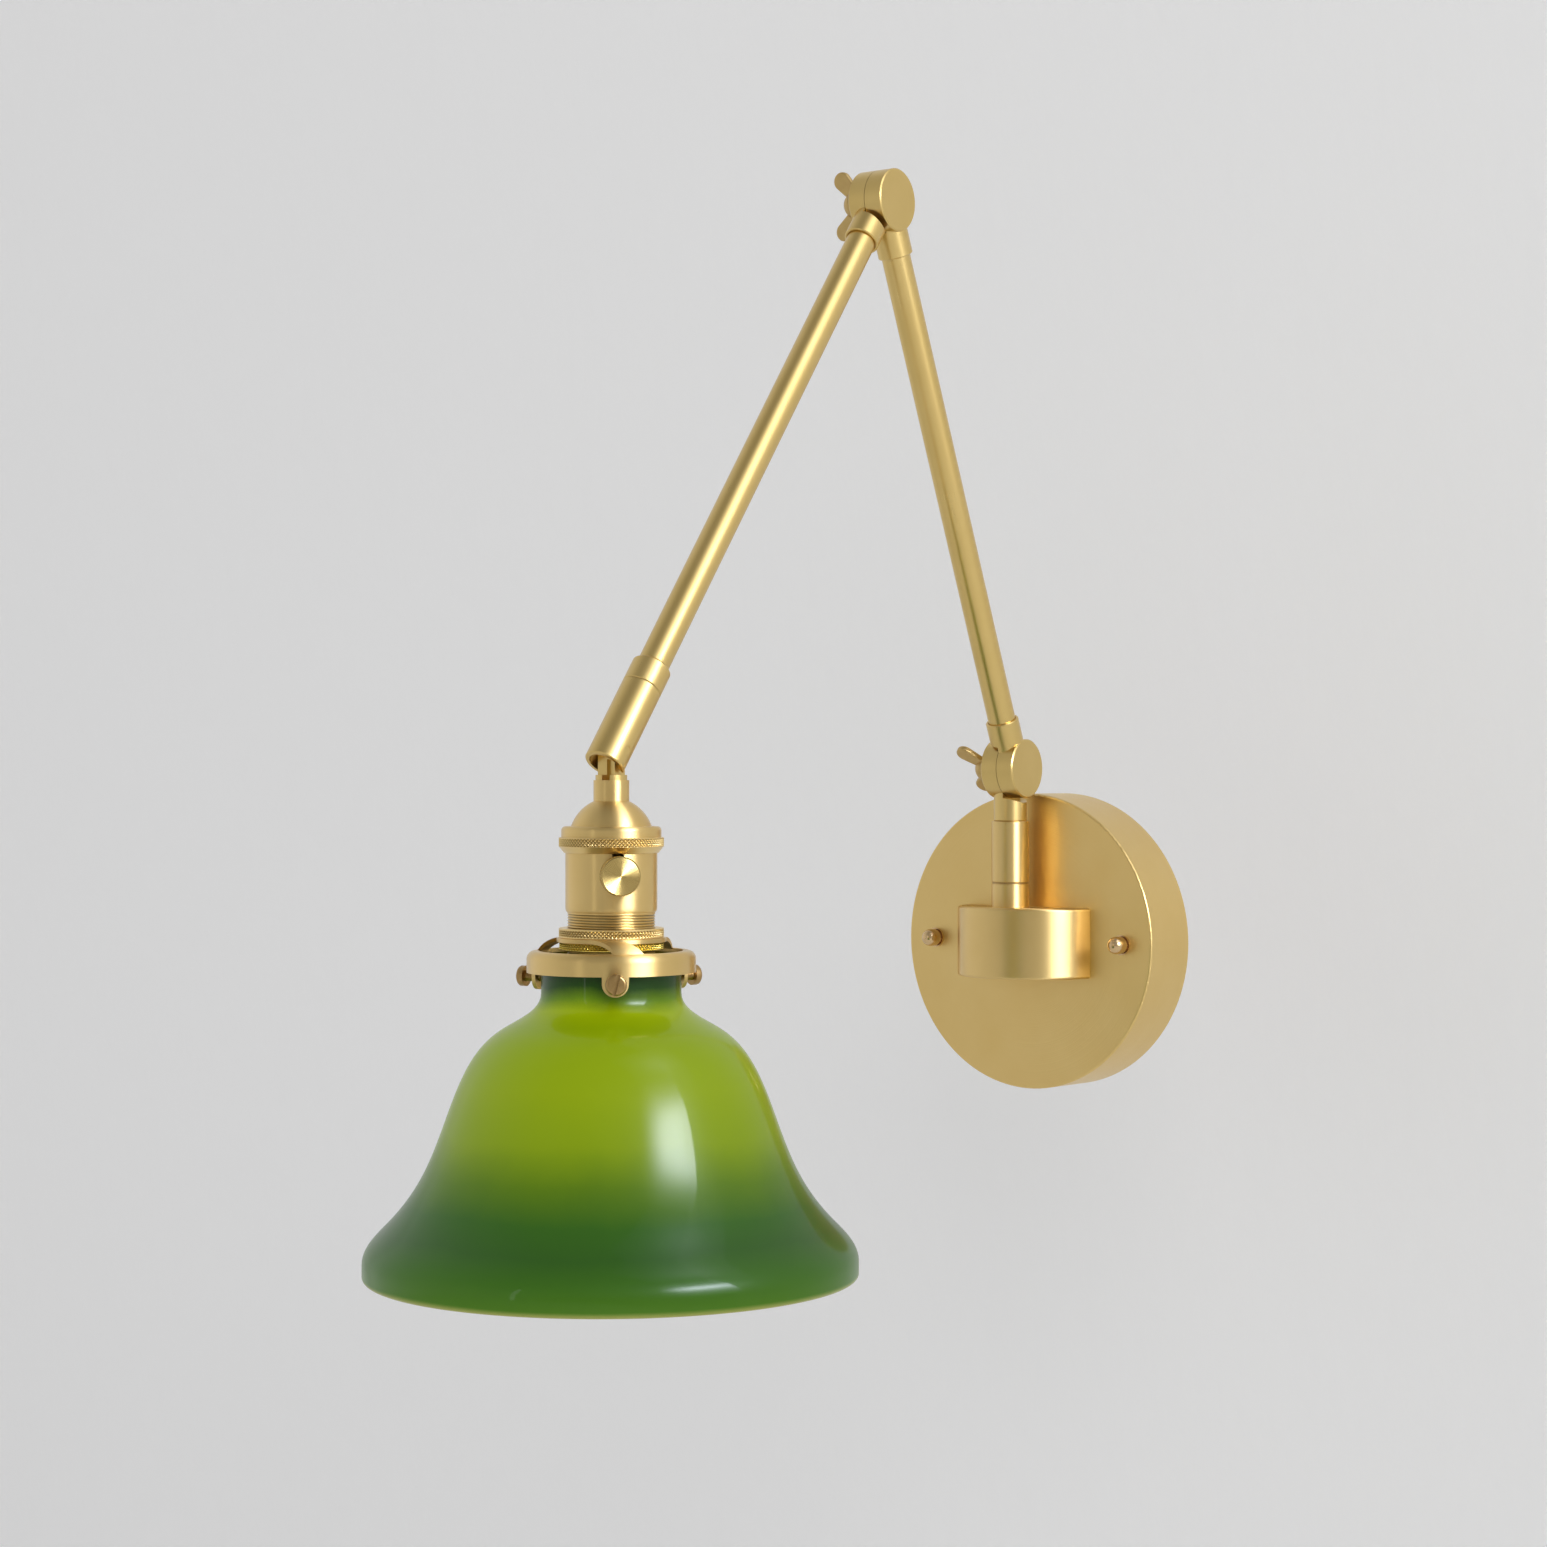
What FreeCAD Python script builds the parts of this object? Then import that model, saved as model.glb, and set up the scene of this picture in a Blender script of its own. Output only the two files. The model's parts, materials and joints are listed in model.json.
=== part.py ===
import FreeCAD, Part
import math
import os

from FreeCAD import Rotation, Vector

# Swing arm wall lamp in millimetres: X along the wall, Y into the wall, Z up.
# The origin is the middle of the canopy on the wall, and the lamp reaches towards -Y.

# Pose of the lamp as it hangs
swing_angle = 3.9
lower_arm_lean = 23.4
forearm_lean = 37.6

# Clearances
fit_gap = 0.02
running_gap = 0.05
screw_gap = 0.25
face_gap = 0.1

# Small edges
screw_head_round = 1.2
turned_edge = 0.3

# Canopy and its fixing
canopy_radius = 65.0
canopy_depth = 29.0
canopy_wall = 1.5
canopy_edge = 0.9
stud_spread = 50.0
stud_radius = 2.0
wire_hole_radius = 5.0
bracket_length = 112.0
bracket_width = 18.0
bracket_thickness = 2.0
slot_spread = 30.0
slot_radius = 2.25
slot_length = 12.0
earth_screw_offset = 15.0
earth_screw_radius = 2.0
earth_head_radius = 4.0
earth_head_height = 2.4

# Ball-ended cap nuts
nut_flange_radius = 4.3
nut_flange_height = 1.2
nut_groove_radius = 3.3
nut_groove_height = 0.9
nut_radius = 3.8
nut_barrel_height = 2.6
nut_thread_depth = 6.0

# Drum that carries the stem
hub_radius = 33.8
hub_setback = 5.4
hub_height = 30.6
hub_wall = 3.0
hub_edge = 1.2
hub_screw_spread = 20.0
hub_screw_radius = 2.5
hub_screw_grip = 9.0
hub_screw_head_radius = 4.5
hub_screw_head_height = 2.8
hub_boss_wall = 2.2

# Stem and its swivel
stem_out = 41.7
stem_radius = 8.2
stub_height = 10.4
stub_tail_radius = 5.0
locknut_width = 15.0
locknut_height = 4.0
stem_bore_radius = 2.5
swivel_radius = 5.5
swivel_length = 8.0
swivel_play = 0.3
swivel_washer_thickness = 0.6
swivel_washer_inset = 0.3
swivel_thread_radius = 4.0
swivel_nut_height = 5.0
sleeve_bore_radius = 6.5
sleeve_height = 26.6
knuckle_plug_length = 6.0

# Knuckles
knuckle_radius = 12.85
knuckle_half = 8.1
knuckle_edge = 0.5
collar_shift = 0.7
collar_radius = 7.2
collar_reach = 23.0
collar_edge = 0.4
collar_clear = 1.95
socket_depth = 8.0
pivot_radius = 3.0
pivot_grip = 6.0
friction_radius = 9.0
friction_thickness = 0.7

# Wing nuts
wing_boss_radius = 5.7
wing_boss_foot = 5.1
wing_boss_barrel = 5.4
wing_boss_height = 9.6
wing_dome_radius = 6.0
wing_thread_depth = 8.0
wing_root_radius = 2.6
wing_root_out = 3.2
wing_root_up = 4.3
wing_tip_radius = 3.8
wing_tip_out = 10.4
wing_tip_up = 10.8
wing_thickness = 2.6
wing_round = 0.8
lower_wing_angle = 49.5
upper_wing_angle = 5.0

# Arms
lower_arm_length = 253.6
forearm_length = 285.5
tube_radius = 6.0
tube_wall = 1.2

# Tilt cup on the end of the forearm
cup_radius = 7.6
cup_bore_radius = 5.9
cup_tail = 6.8
cup_length = 35.2
cup_edge = 0.4
cup_bearing_radius = 4.5
cup_bearing_length = 7.0
cup_thread_radius = 3.5
cup_retainer_height = 4.0
cup_collar_length = 11.0
cup_collar_bevel = 1.2
cup_wire_radius = 2.0
tilt_pin_radius = 1.5
tilt_pin_inset = 0.15
slot_side_gap = 1.2
slot_top_gap = 0.4

# Tilting tongue
tongue_thickness = 8.0
tongue_width = 5.8
spigot_drop = 9.2
groove_side = 0.3
groove_width = 2.9
groove_depth = 1.2
groove_drop = 3.5
foot_radius = 5.8
foot_height = 1.9
spigot_thread_radius = 4.95
spigot_thread_length = 7.5

# Lampholder
cap_neck_radius = 6.55
cap_neck_height = 7.7
dome_radius = 15.7
dome_foot_radius = 14.75
dome_height = 9.1
cap_wall = 1.5
cap_flange_radius = 18.3
cap_flange_height = 4.0
cap_flange_round = 1.6
cap_ring_radius = 19.2
cap_ring_band = 3.6
cap_ring_taper = 2.1
cap_ring_foot = 17.5
shell_radius = 16.8
shell_wall = 1.6
shell_plain = 19.4
shell_step = 2.2
thread_radius = 16.0
thread_length = 22.5
shell_lap = 6.8
insulator_wall = 1.4
insulator_height = 28.0
insulator_floor = 4.0
insulator_inset = 1.0
screw_shell_wall = 0.4
screw_shell_height = 20.0
screw_shell_inset = 1.4
contact_radius = 4.0
contact_height = 2.4
switch_body_height = 13.0

# Switch knob
knob_azimuth = 48.0
knob_radius = 7.1
knob_thickness = 6.5
knob_edge = 0.4
knob_stand = 0.6
knob_drop = 7.9
shaft_radius = 2.0
shaft_root = 8.2
shaft_grip = 3.8
shell_slot_gap = 0.2

# Gallery that holds the shade
ring_drop = 5.7
shade_ring_radius = 19.2
shade_ring_height = 3.6
lower_ring_radius = 19.0
lower_ring_height = 2.8
plate_radius = 20.0
plate_thickness = 1.5
band_radius = 30.9
band_wall = 1.5
band_height = 7.9
band_drop = 3.2
band_shoulder = 3.0
band_mouth = 26.3
gallery_arm_azimuth = 52.0
gallery_arm_sweep = 24.0
gallery_root_angle = 19.0
gallery_foot_angle = 22.5
gallery_arm_bend = 9.0
gallery_arm_seat = 0.7
lug_radius = 4.8
lug_azimuth = 42.0
shade_screws = 3
shade_screw_radius = 2.0
shade_screw_drop = 2.4
shade_screw_head_radius = 3.8
shade_screw_head_height = 2.8
shade_screw_stand = 4.3
shade_screw_slot = 0.9
shade_screw_turn = -15.0

# Glass bell
glass_wall = 3.4
lip_radius = 28.5
lip_height = 4.4
lip_gap = 0.3
screw_tip_gap = 0.15
neck_radius = 25.6
neck_height = 7.4
shoulder_radius = 40.8
shoulder_drop = 14.0
crown_radius = 54.6
crown_drop = 31.5
waist_radius = 61.4
waist_drop = 49.1
flare_radius = 68.8
flare_drop = 66.6
skirt_radius = 81.8
skirt_drop = 84.2
rim_radius = 90.4
rim_drop = 97.6
rim_lip = 4.2

# Worked out from the sizes above
X_AXIS = Vector(1, 0, 0)
Y_AXIS = Vector(0, 1, 0)
Z_AXIS = Vector(0, 0, 1)
hub_top = hub_height / 2
stem_foot = Vector(0, -stem_out, 0)
swivel_line = hub_top + stub_height
sleeve_foot = swivel_line + swivel_washer_thickness + running_gap
lower_pivot_height = sleeve_foot + sleeve_height + collar_reach
nut_face = collar_shift - knuckle_half
lower_pivot = stem_foot + Z_AXIS * lower_pivot_height
lean = math.radians(lower_arm_lean)
upper_pivot = lower_pivot + Vector(0, -math.sin(lean), math.cos(lean)) * lower_arm_length
reach = math.radians(forearm_lean)
tilt_pivot = upper_pivot + Vector(0, -math.sin(reach), -math.cos(reach)) * forearm_length
far = 4 * canopy_radius
diagonal = math.sqrt(0.5)

# Heights on the forearm's end and the head, measured from the tilt pivot
cup_joint = cup_length - cup_tail
neck_top = -spigot_drop - foot_height
dome_top = neck_top - cap_neck_height
flange_top = dome_top - dome_height
ring_top = flange_top - cap_flange_height
shell_visible = ring_top - cap_ring_band - cap_ring_taper
step_top = shell_visible - shell_plain
thread_top = step_top - shell_step
shell_foot = thread_top - thread_length
shell_bore = shell_radius - shell_wall
cap_bore = shell_radius + running_gap
shell_top = shell_visible + shell_lap
insulator_foot = shell_foot + insulator_inset
insulator_top = insulator_foot + insulator_height
insulator_bore = shell_bore - fit_gap - insulator_wall
knob_height = shell_visible - knob_drop
upper_ring_top = thread_top - ring_drop
plate_top = upper_ring_top - shade_ring_height
plate_low = plate_top - plate_thickness
band_top = plate_low - band_drop
band_low = band_top - band_height
shade_screw_height = band_low - shade_screw_drop
lip_low = shade_screw_height + shade_screw_radius + lip_gap

parts = {}


def outline(steps):
    """Closed face in the XZ plane from (radius, height) points; four numbers are an arc."""
    edges = []
    here = Vector(steps[0][0], 0, steps[0][1])
    for step in steps[1:] + steps[:1]:
        there = Vector(step[-2], 0, step[-1])
        if len(step) == 4:
            edges.append(Part.Arc(here, Vector(step[0], 0, step[1]), there).toShape())
        else:
            edges.append(Part.LineSegment(here, there).toShape())
        here = there
    return Part.Face(Part.Wire(edges))


def turned(steps):
    """Solid of revolution about Z from an outline's points."""
    return outline(steps).revolve(Vector(), Z_AXIS, 360)


def ring(inner, outer, low, high):
    """Plain ring about Z between two heights."""
    return turned([(inner, low), (outer, low), (outer, high), (inner, high)])


def rounded(radius, height, size):
    """Outline steps up a side and over its rounded top edge."""
    bite = size * (1 - diagonal)
    return [(radius, height - size), (radius - bite, height - bite, radius - size, height)]


def rod(radius, start, end):
    """Round bar between two points."""
    span = end - start
    return Part.makeCylinder(radius, span.Length, start, span)


def block(low, high):
    """Rectangular block between two corners."""
    size = high - low
    return Part.makeBox(size.x, size.y, size.z, low)


def bulge(start, end, radius):
    """Middle of the arc of that radius which bows away from the axis and upwards."""
    chord = Vector(end[0] - start[0], end[1] - start[1], 0)
    out = Vector(-chord.y, chord.x, 0).normalize()
    sagitta = radius - math.sqrt(radius**2 - chord.Length**2 / 4)
    return ((start[0] + end[0]) / 2 + out.x * sagitta, (start[1] + end[1]) / 2 + out.y * sagitta)


def aimed(shape, origin, up, side):
    """Copy of a shape with its Z along up, its X along side and its origin moved."""
    result = shape.copy()
    turn = Rotation(side, up.cross(side), up, "ZXY")
    result.Placement = FreeCAD.Placement(origin, turn).multiply(shape.Placement)
    return result


def outward(azimuth):
    """Level direction at an angle from straight out, measured towards the plain face side."""
    angle = math.radians(azimuth)
    return Vector(math.sin(angle), -math.cos(angle), 0)


def fixed(name, shape):
    """Keep a piece that stays with the wall."""
    parts[name] = shape


def swung(name, shape):
    """Keep a piece that turns with the stem, at the angle at which the lamp hangs."""
    result = shape.copy()
    result.rotate(stem_foot, Z_AXIS, swing_angle)
    parts[name] = result


def on_lower_arm(shape):
    """Move a shape from the arm's own frame, with Z along the arm, to its lean."""
    return aimed(shape, lower_pivot, Vector(0, -math.sin(lean), math.cos(lean)), X_AXIS)


def on_forearm(shape):
    """Move a shape from the forearm's own frame, Z up the arm from the tilt pivot."""
    return aimed(shape, tilt_pivot, Vector(0, math.sin(reach), math.cos(reach)), X_AXIS)


def on_head(shape):
    """Move a shape from the head's frame, whose origin is the tilt pivot."""
    return aimed(shape, tilt_pivot, Z_AXIS, X_AXIS)


# Canopy, bracket and drum
def canopy():
    """Spun cup with a softened front edge and its holes, open towards the wall."""
    inner = canopy_radius - canopy_wall
    cup = turned([
        (0, canopy_depth - canopy_wall),
        (inner, canopy_depth - canopy_wall),
        (inner, 0),
        (canopy_radius, 0),
        *rounded(canopy_radius, canopy_depth, canopy_edge),
        (0, canopy_depth),
    ])
    cup = aimed(cup, Vector(), -Y_AXIS, X_AXIS)
    deep = Vector(0, -2 * canopy_depth, 0)
    holes = [rod(wire_hole_radius, Vector(), deep)]
    for side in (-1, 1):
        stud_at = Vector(side * stud_spread, 0, 0)
        screw_at = Vector(side * hub_screw_spread, 0, 0)
        holes.append(rod(stud_radius + screw_gap, stud_at, stud_at + deep))
        holes.append(rod(hub_screw_radius + screw_gap, screw_at, screw_at + deep))
    return cup.cut(holes)


def long_hole(length, radius, centre, depth):
    """Round-ended bar along X that cuts a slot through in Y."""
    half = length / 2 - radius
    body = block(centre + Vector(-half, -depth, -radius), centre + Vector(half, depth, radius))
    ends = []
    for side in (-1, 1):
        start = centre + Vector(side * half, -depth, 0)
        ends.append(rod(radius, start, start + Y_AXIS * 2 * depth))
    return body.fuse(ends).removeSplitter()


def bracket():
    """Flat strap with rounded ends, two slots and the holes for studs, wires and earth."""
    middle = Vector(0, -bracket_thickness / 2, 0)
    strap = long_hole(bracket_length, bracket_width / 2, middle, bracket_thickness / 2)
    through = Vector(0, -2 * bracket_thickness, 0)
    start = Vector(0, bracket_thickness, 0)
    holes = [rod(wire_hole_radius, start, through)]
    earth = X_AXIS * earth_screw_offset
    holes.append(rod(earth_screw_radius + fit_gap, start + earth, through + earth))
    for side in (-1, 1):
        stud_at = X_AXIS * side * stud_spread
        holes.append(rod(stud_radius + fit_gap, start + stud_at, through + stud_at))
        holes.append(long_hole(slot_length, slot_radius, X_AXIS * side * slot_spread, far))
    return strap.cut(holes)


def cap_nut():
    """Ball-ended nut with a flange, its seat at zero and its ball along Z."""
    groove_top = nut_flange_height + nut_groove_height
    barrel_top = groove_top + nut_barrel_height
    slope = nut_radius * diagonal
    bore = stud_radius + fit_gap
    return turned([
        (bore, 0),
        (nut_flange_radius, 0),
        (nut_flange_radius, nut_flange_height),
        (nut_groove_radius, nut_flange_height),
        (nut_groove_radius, groove_top),
        (nut_radius, groove_top),
        (nut_radius, barrel_top),
        (slope, barrel_top + slope, 0, barrel_top + nut_radius),
        (0, nut_thread_depth),
        (bore, nut_thread_depth),
    ])


def pan_screw(radius, length, head_radius, head_height):
    """Screw along -Z with its head above zero."""
    return turned([
        (0, -length),
        (radius, -length),
        (radius, 0),
        (head_radius, 0),
        *rounded(head_radius, head_height, screw_head_round),
        (0, head_height),
    ])


def hub_drum(radius, half_height):
    """Upright drum, cut off flat at the canopy's face."""
    axis_at = Vector(0, hub_setback - canopy_depth, -half_height)
    drum = Part.makeCylinder(radius, 2 * half_height, axis_at)
    front = block(Vector(-far, -far, -far), Vector(far, -canopy_depth, far))
    return drum.common(front)


def hub():
    """Hollow D-shaped drum with two screw bosses and the hole for the stem."""
    outer = hub_drum(hub_radius, hub_height / 2)
    curved = [e for e in outer.Edges if isinstance(e.Curve, Part.Circle)]
    rounded = outer.makeFillet(hub_edge, curved)
    cavity = hub_drum(hub_radius - hub_wall, hub_height / 2 - hub_wall)
    body = rounded.cut(cavity)
    bosses = []
    holes = []
    for side in (-1, 1):
        start = Vector(side * hub_screw_spread, -canopy_depth, 0)
        boss = rod(hub_screw_radius + hub_boss_wall, start, start - Y_AXIS * hub_radius)
        bosses.append(boss.common(outer))
        hole_end = start - Y_AXIS * (hub_screw_grip + screw_gap)
        holes.append(rod(hub_screw_radius + fit_gap, start, hole_end))
    body = body.fuse(bosses).removeSplitter()
    holes.append(rod(stub_tail_radius + fit_gap, stem_foot, stem_foot + Z_AXIS * hub_height))
    return body.cut(holes)


def hex_nut(width, height, bore):
    """Hexagon nut about Z with its seat at the top, at zero."""
    sides = 6
    corner = width / 2 / math.cos(math.pi / sides)
    angles = [2 * math.pi * i / sides for i in range(sides)]
    points = [Vector(corner * math.cos(a), corner * math.sin(a), -height) for a in angles]
    body = Part.Face(Part.makePolygon(points + points[:1])).extrude(Z_AXIS * height)
    return body.cut(Part.makeCylinder(bore, height, Vector(0, 0, -height)))


def stem_stub():
    """Fixed lower stem: threaded tail, plain body and the spigot that the sleeve turns on."""
    tail = hub_top - hub_wall - locknut_height - swivel_play
    shoulder = sleeve_foot + swivel_length + swivel_play
    top = shoulder + swivel_nut_height
    return turned([
        (stem_bore_radius, tail),
        (stub_tail_radius, tail),
        (stub_tail_radius, hub_top),
        (stem_radius, hub_top),
        (stem_radius, swivel_line - turned_edge),
        (stem_radius - turned_edge, swivel_line),
        (swivel_radius, swivel_line),
        (swivel_radius, shoulder),
        (swivel_thread_radius, shoulder),
        (swivel_thread_radius, top),
        (stem_bore_radius, top),
    ])


def stem_sleeve():
    """Turning sleeve with its bearing at the foot and a wide bore above."""
    bearing = swivel_radius + running_gap
    ledge = sleeve_foot + swivel_length
    top = sleeve_foot + sleeve_height
    return turned([
        (bearing, sleeve_foot),
        (stem_radius - turned_edge, sleeve_foot),
        (stem_radius, sleeve_foot + turned_edge),
        (stem_radius, top - turned_edge),
        (stem_radius - turned_edge, top),
        (sleeve_bore_radius, top),
        (sleeve_bore_radius, ledge),
        (bearing, ledge),
    ])


# Knuckles, arms and wing nuts
def knuckle_half_disc(side):
    """Half knuckle about X, from the joint plane outwards on one side."""
    low = face_gap
    disc = turned([
        (0, low),
        (knuckle_radius, low),
        (knuckle_radius, knuckle_half - knuckle_edge),
        (knuckle_radius - knuckle_edge, knuckle_half),
        (0, knuckle_half),
    ])
    return aimed(disc, Vector(), X_AXIS * side, Z_AXIS)


def collar(side):
    """Collar along Z, offset to its own half and scooped clear of the other half."""
    across = X_AXIS * side * collar_shift
    body = turned([
        (0, 0),
        (collar_radius, 0),
        (collar_radius, collar_reach - collar_edge),
        (collar_radius - collar_edge, collar_reach),
        (0, collar_reach),
    ])
    body.translate(across)
    scoop = rod(knuckle_radius + collar_clear, X_AXIS * side * face_gap, -X_AXIS * side * far)
    below = block(Vector(-far, -far, -far), Vector(far, far, 0))
    return body.cut([scoop, below])


def knuckle(side):
    """Half knuckle with its collar along +Z and the joint plane at X = 0."""
    return knuckle_half_disc(side).fuse(collar(side)).removeSplitter()


def arm_knuckle(side):
    """Half knuckle whose collar takes the end of an arm tube at a countersunk mouth."""
    at = X_AXIS * side * collar_shift + Z_AXIS * collar_reach
    bore = tube_radius + fit_gap
    mouth = Part.makeCone(bore + turned_edge, bore, turned_edge, at, -Z_AXIS)
    return knuckle(side).cut([rod(bore, at, at - Z_AXIS * socket_depth), mouth])


def plain_half():
    """Plain-faced half on the lower arm, with a blind hole for the stud and a washer recess."""
    body = arm_knuckle(1)
    stud_hole = rod(pivot_radius + fit_gap, Vector(), X_AXIS * (pivot_grip + fit_gap))
    recess_end = friction_thickness - face_gap + fit_gap
    recess = rod(friction_radius + fit_gap, Vector(), X_AXIS * recess_end)
    return body.cut([stud_hole, recess])


def through_hole():
    """Bar that bores a half on the wing nut side for the pivot stud."""
    return rod(pivot_radius + running_gap, X_AXIS * far, -X_AXIS * far)


def base_half():
    """Half on the stem: its collar points down and plugs into the sleeve."""
    body = knuckle(-1)
    at = -X_AXIS * collar_shift + Z_AXIS * collar_reach
    plug = rod(sleeve_bore_radius - fit_gap, at, at + Z_AXIS * knuckle_plug_length)
    return body.fuse(plug).removeSplitter().cut(through_hole())


def turned_over(shape):
    """Copy of a half knuckle with its collar pointing along -Z."""
    result = shape.copy()
    result.rotate(Vector(), X_AXIS, 180)
    return result


def pivot_stud():
    """Hinge stud from the plain half through the other half into the wing nut."""
    end = knuckle_half + face_gap + wing_thread_depth - screw_gap
    return rod(pivot_radius, X_AXIS * pivot_grip, -X_AXIS * end)


def friction_washer():
    """Disc in the plain half's recess that bears on the other half."""
    start = X_AXIS * -(face_gap - fit_gap)
    disc = rod(friction_radius, start, start + X_AXIS * friction_thickness)
    return disc.cut(rod(pivot_radius + running_gap, X_AXIS * -far, X_AXIS * far))


def paddle():
    """Rounded wing between a small root circle and a larger tip circle, in the XZ plane."""
    root = Vector(wing_root_out, 0, wing_root_up)
    tip = Vector(wing_tip_out, 0, wing_tip_up)
    along = (tip - root).normalize()
    across = Vector(along.z, 0, -along.x)
    spread = math.acos((wing_root_radius - wing_tip_radius) / (tip - root).Length)
    edges = []
    corners = []
    for turn in (spread, -spread):
        tangent = along * math.cos(turn) + across * math.sin(turn)
        corners.append((root + tangent * wing_root_radius, tip + tangent * wing_tip_radius))
    edges.append(Part.LineSegment(corners[0][0], corners[0][1]).toShape())
    edges.append(Part.Arc(corners[0][1], tip + along * wing_tip_radius, corners[1][1]).toShape())
    edges.append(Part.LineSegment(corners[1][1], corners[1][0]).toShape())
    edges.append(Part.Arc(corners[1][0], root - along * wing_root_radius, corners[0][0]).toShape())
    face = Part.Face(Part.Wire(edges))
    plate = face.extrude(Y_AXIS * wing_thickness)
    plate.translate(Y_AXIS * (-wing_thickness / 2))
    sharp = [e for e in plate.Edges if e.BoundBox.YLength < wing_round]
    return plate.makeFillet(wing_round, sharp)


def wing_nut():
    """Domed boss about Z with a wing on each side, its seat at zero."""
    bore = pivot_radius + running_gap
    crown = (wing_boss_radius, wing_boss_barrel)
    peak = (0, wing_boss_height)
    boss = turned([
        (0, 0),
        (wing_boss_foot, 0),
        crown,
        bulge(peak, crown, wing_dome_radius) + peak,
    ])
    seam_turn = 90
    boss.rotate(Vector(), Z_AXIS, seam_turn)
    wing = paddle()
    other = wing.copy()
    other.rotate(Vector(), Z_AXIS, 180)
    body = boss.fuse([wing, other]).removeSplitter()
    return body.cut(Part.makeCylinder(bore, wing_thread_depth))


def wing_nut_at(pivot, angle):
    """Wing nut seated on the nut face of a knuckle, with its wings turned from upright."""
    turn = math.radians(angle)
    seat = pivot + X_AXIS * (nut_face - face_gap)
    return aimed(wing_nut(), seat, -X_AXIS, Vector(0, -math.sin(turn), math.cos(turn)))


def tube(low, high):
    """Arm tube along Z between two heights."""
    return ring(tube_radius - tube_wall, tube_radius, low, high)


# Tilt cup
def cup_collar():
    """End collar of the forearm with the spigot that the cup turns on."""
    low = cup_joint + face_gap
    top = low + cup_collar_length
    seat = top - socket_depth
    play = cup_joint - cup_bearing_length - face_gap
    tail = play - cup_retainer_height
    return turned([
        (cup_wire_radius, tail),
        (cup_thread_radius, tail),
        (cup_thread_radius, play),
        (cup_bearing_radius, play),
        (cup_bearing_radius, low),
        (cup_radius - turned_edge, low),
        (cup_radius, low + turned_edge),
        (cup_radius, top - cup_collar_bevel),
        (cup_radius - cup_collar_bevel, top),
        (tube_radius + fit_gap, top),
        (tube_radius + fit_gap, seat),
        (cup_wire_radius, seat),
    ])


def tilt_cup():
    """Bored barrel with a bearing at its top and a slot at its end towards the wall."""
    ledge = cup_joint - cup_bearing_length
    body = turned([
        (cup_bearing_radius + running_gap, cup_joint),
        (cup_radius - turned_edge, cup_joint),
        (cup_radius, cup_joint - turned_edge),
        (cup_radius, -cup_tail + cup_edge),
        (cup_radius - cup_edge, -cup_tail),
        (cup_bore_radius, -cup_tail),
        (cup_bore_radius, ledge),
        (cup_bearing_radius + running_gap, ledge),
    ])
    half = tongue_thickness / 2 + slot_side_gap
    slot_top = tongue_width / 2 + slot_top_gap
    slot = block(Vector(-half, 0, -far), Vector(half, far, slot_top))
    pin_hole = rod(tilt_pin_radius + fit_gap, X_AXIS * -far, X_AXIS * far)
    return body.cut([slot, pin_hole])


def tilt_spigot():
    """Flat tongue with a round end on the cross pin, a round foot and a threaded tail."""
    half = tongue_thickness / 2
    wide = tongue_width / 2
    foot_top = -spigot_drop
    foot_low = foot_top - foot_height
    tongue = block(Vector(-half, -wide, foot_top), Vector(half, wide, 0))
    end = rod(wide, X_AXIS * -half, X_AXIS * half)
    tail = turned([
        (0, foot_top),
        (foot_radius, foot_top),
        (foot_radius, foot_low),
        (spigot_thread_radius, foot_low),
        (spigot_thread_radius, foot_low - spigot_thread_length),
        (0, foot_low - spigot_thread_length),
    ])
    body = tongue.fuse([end, tail]).removeSplitter()
    groove_low = Vector(groove_side, -far, foot_low)
    groove_high = Vector(groove_side + groove_width, groove_depth - wide, -groove_drop)
    pin_hole = rod(tilt_pin_radius + running_gap, X_AXIS * -far, X_AXIS * far)
    return body.cut([pin_hole, block(groove_low, groove_high)])


# Lampholder
def socket_cap():
    """Spun cap: bored neck, dome and a flange that covers the shell's top."""
    bore = spigot_thread_radius + running_gap
    neck_foot = (cap_neck_radius, dome_top)
    dome_foot = (dome_foot_radius, flange_top)
    inner_foot = (dome_foot_radius - cap_wall, flange_top - cap_wall)
    inner_head = (bore, dome_top - cap_wall)
    inner_bulge = bulge(inner_head, inner_foot, dome_radius - cap_wall)
    side = (cap_flange_radius, flange_top - cap_flange_round)
    bite = cap_flange_round * (1 - diagonal)
    return turned([
        (bore, neck_top),
        (cap_neck_radius, neck_top),
        neck_foot,
        bulge(neck_foot, dome_foot, dome_radius) + dome_foot,
        (cap_flange_radius - cap_flange_round, flange_top),
        (cap_flange_radius - bite, flange_top - bite) + side,
        (cap_flange_radius, ring_top),
        (cap_bore, ring_top),
        (cap_bore, flange_top - cap_wall),
        inner_foot,
        inner_bulge + inner_head,
    ])


def cap_ring():
    """Ring under the cap with a knurl band and a taper down to the shell."""
    return turned([
        (cap_bore, ring_top - fit_gap),
        (cap_ring_radius, ring_top - fit_gap),
        (cap_ring_radius, ring_top - cap_ring_band),
        (cap_ring_foot, shell_visible),
        (cap_bore, shell_visible),
    ])


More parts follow.
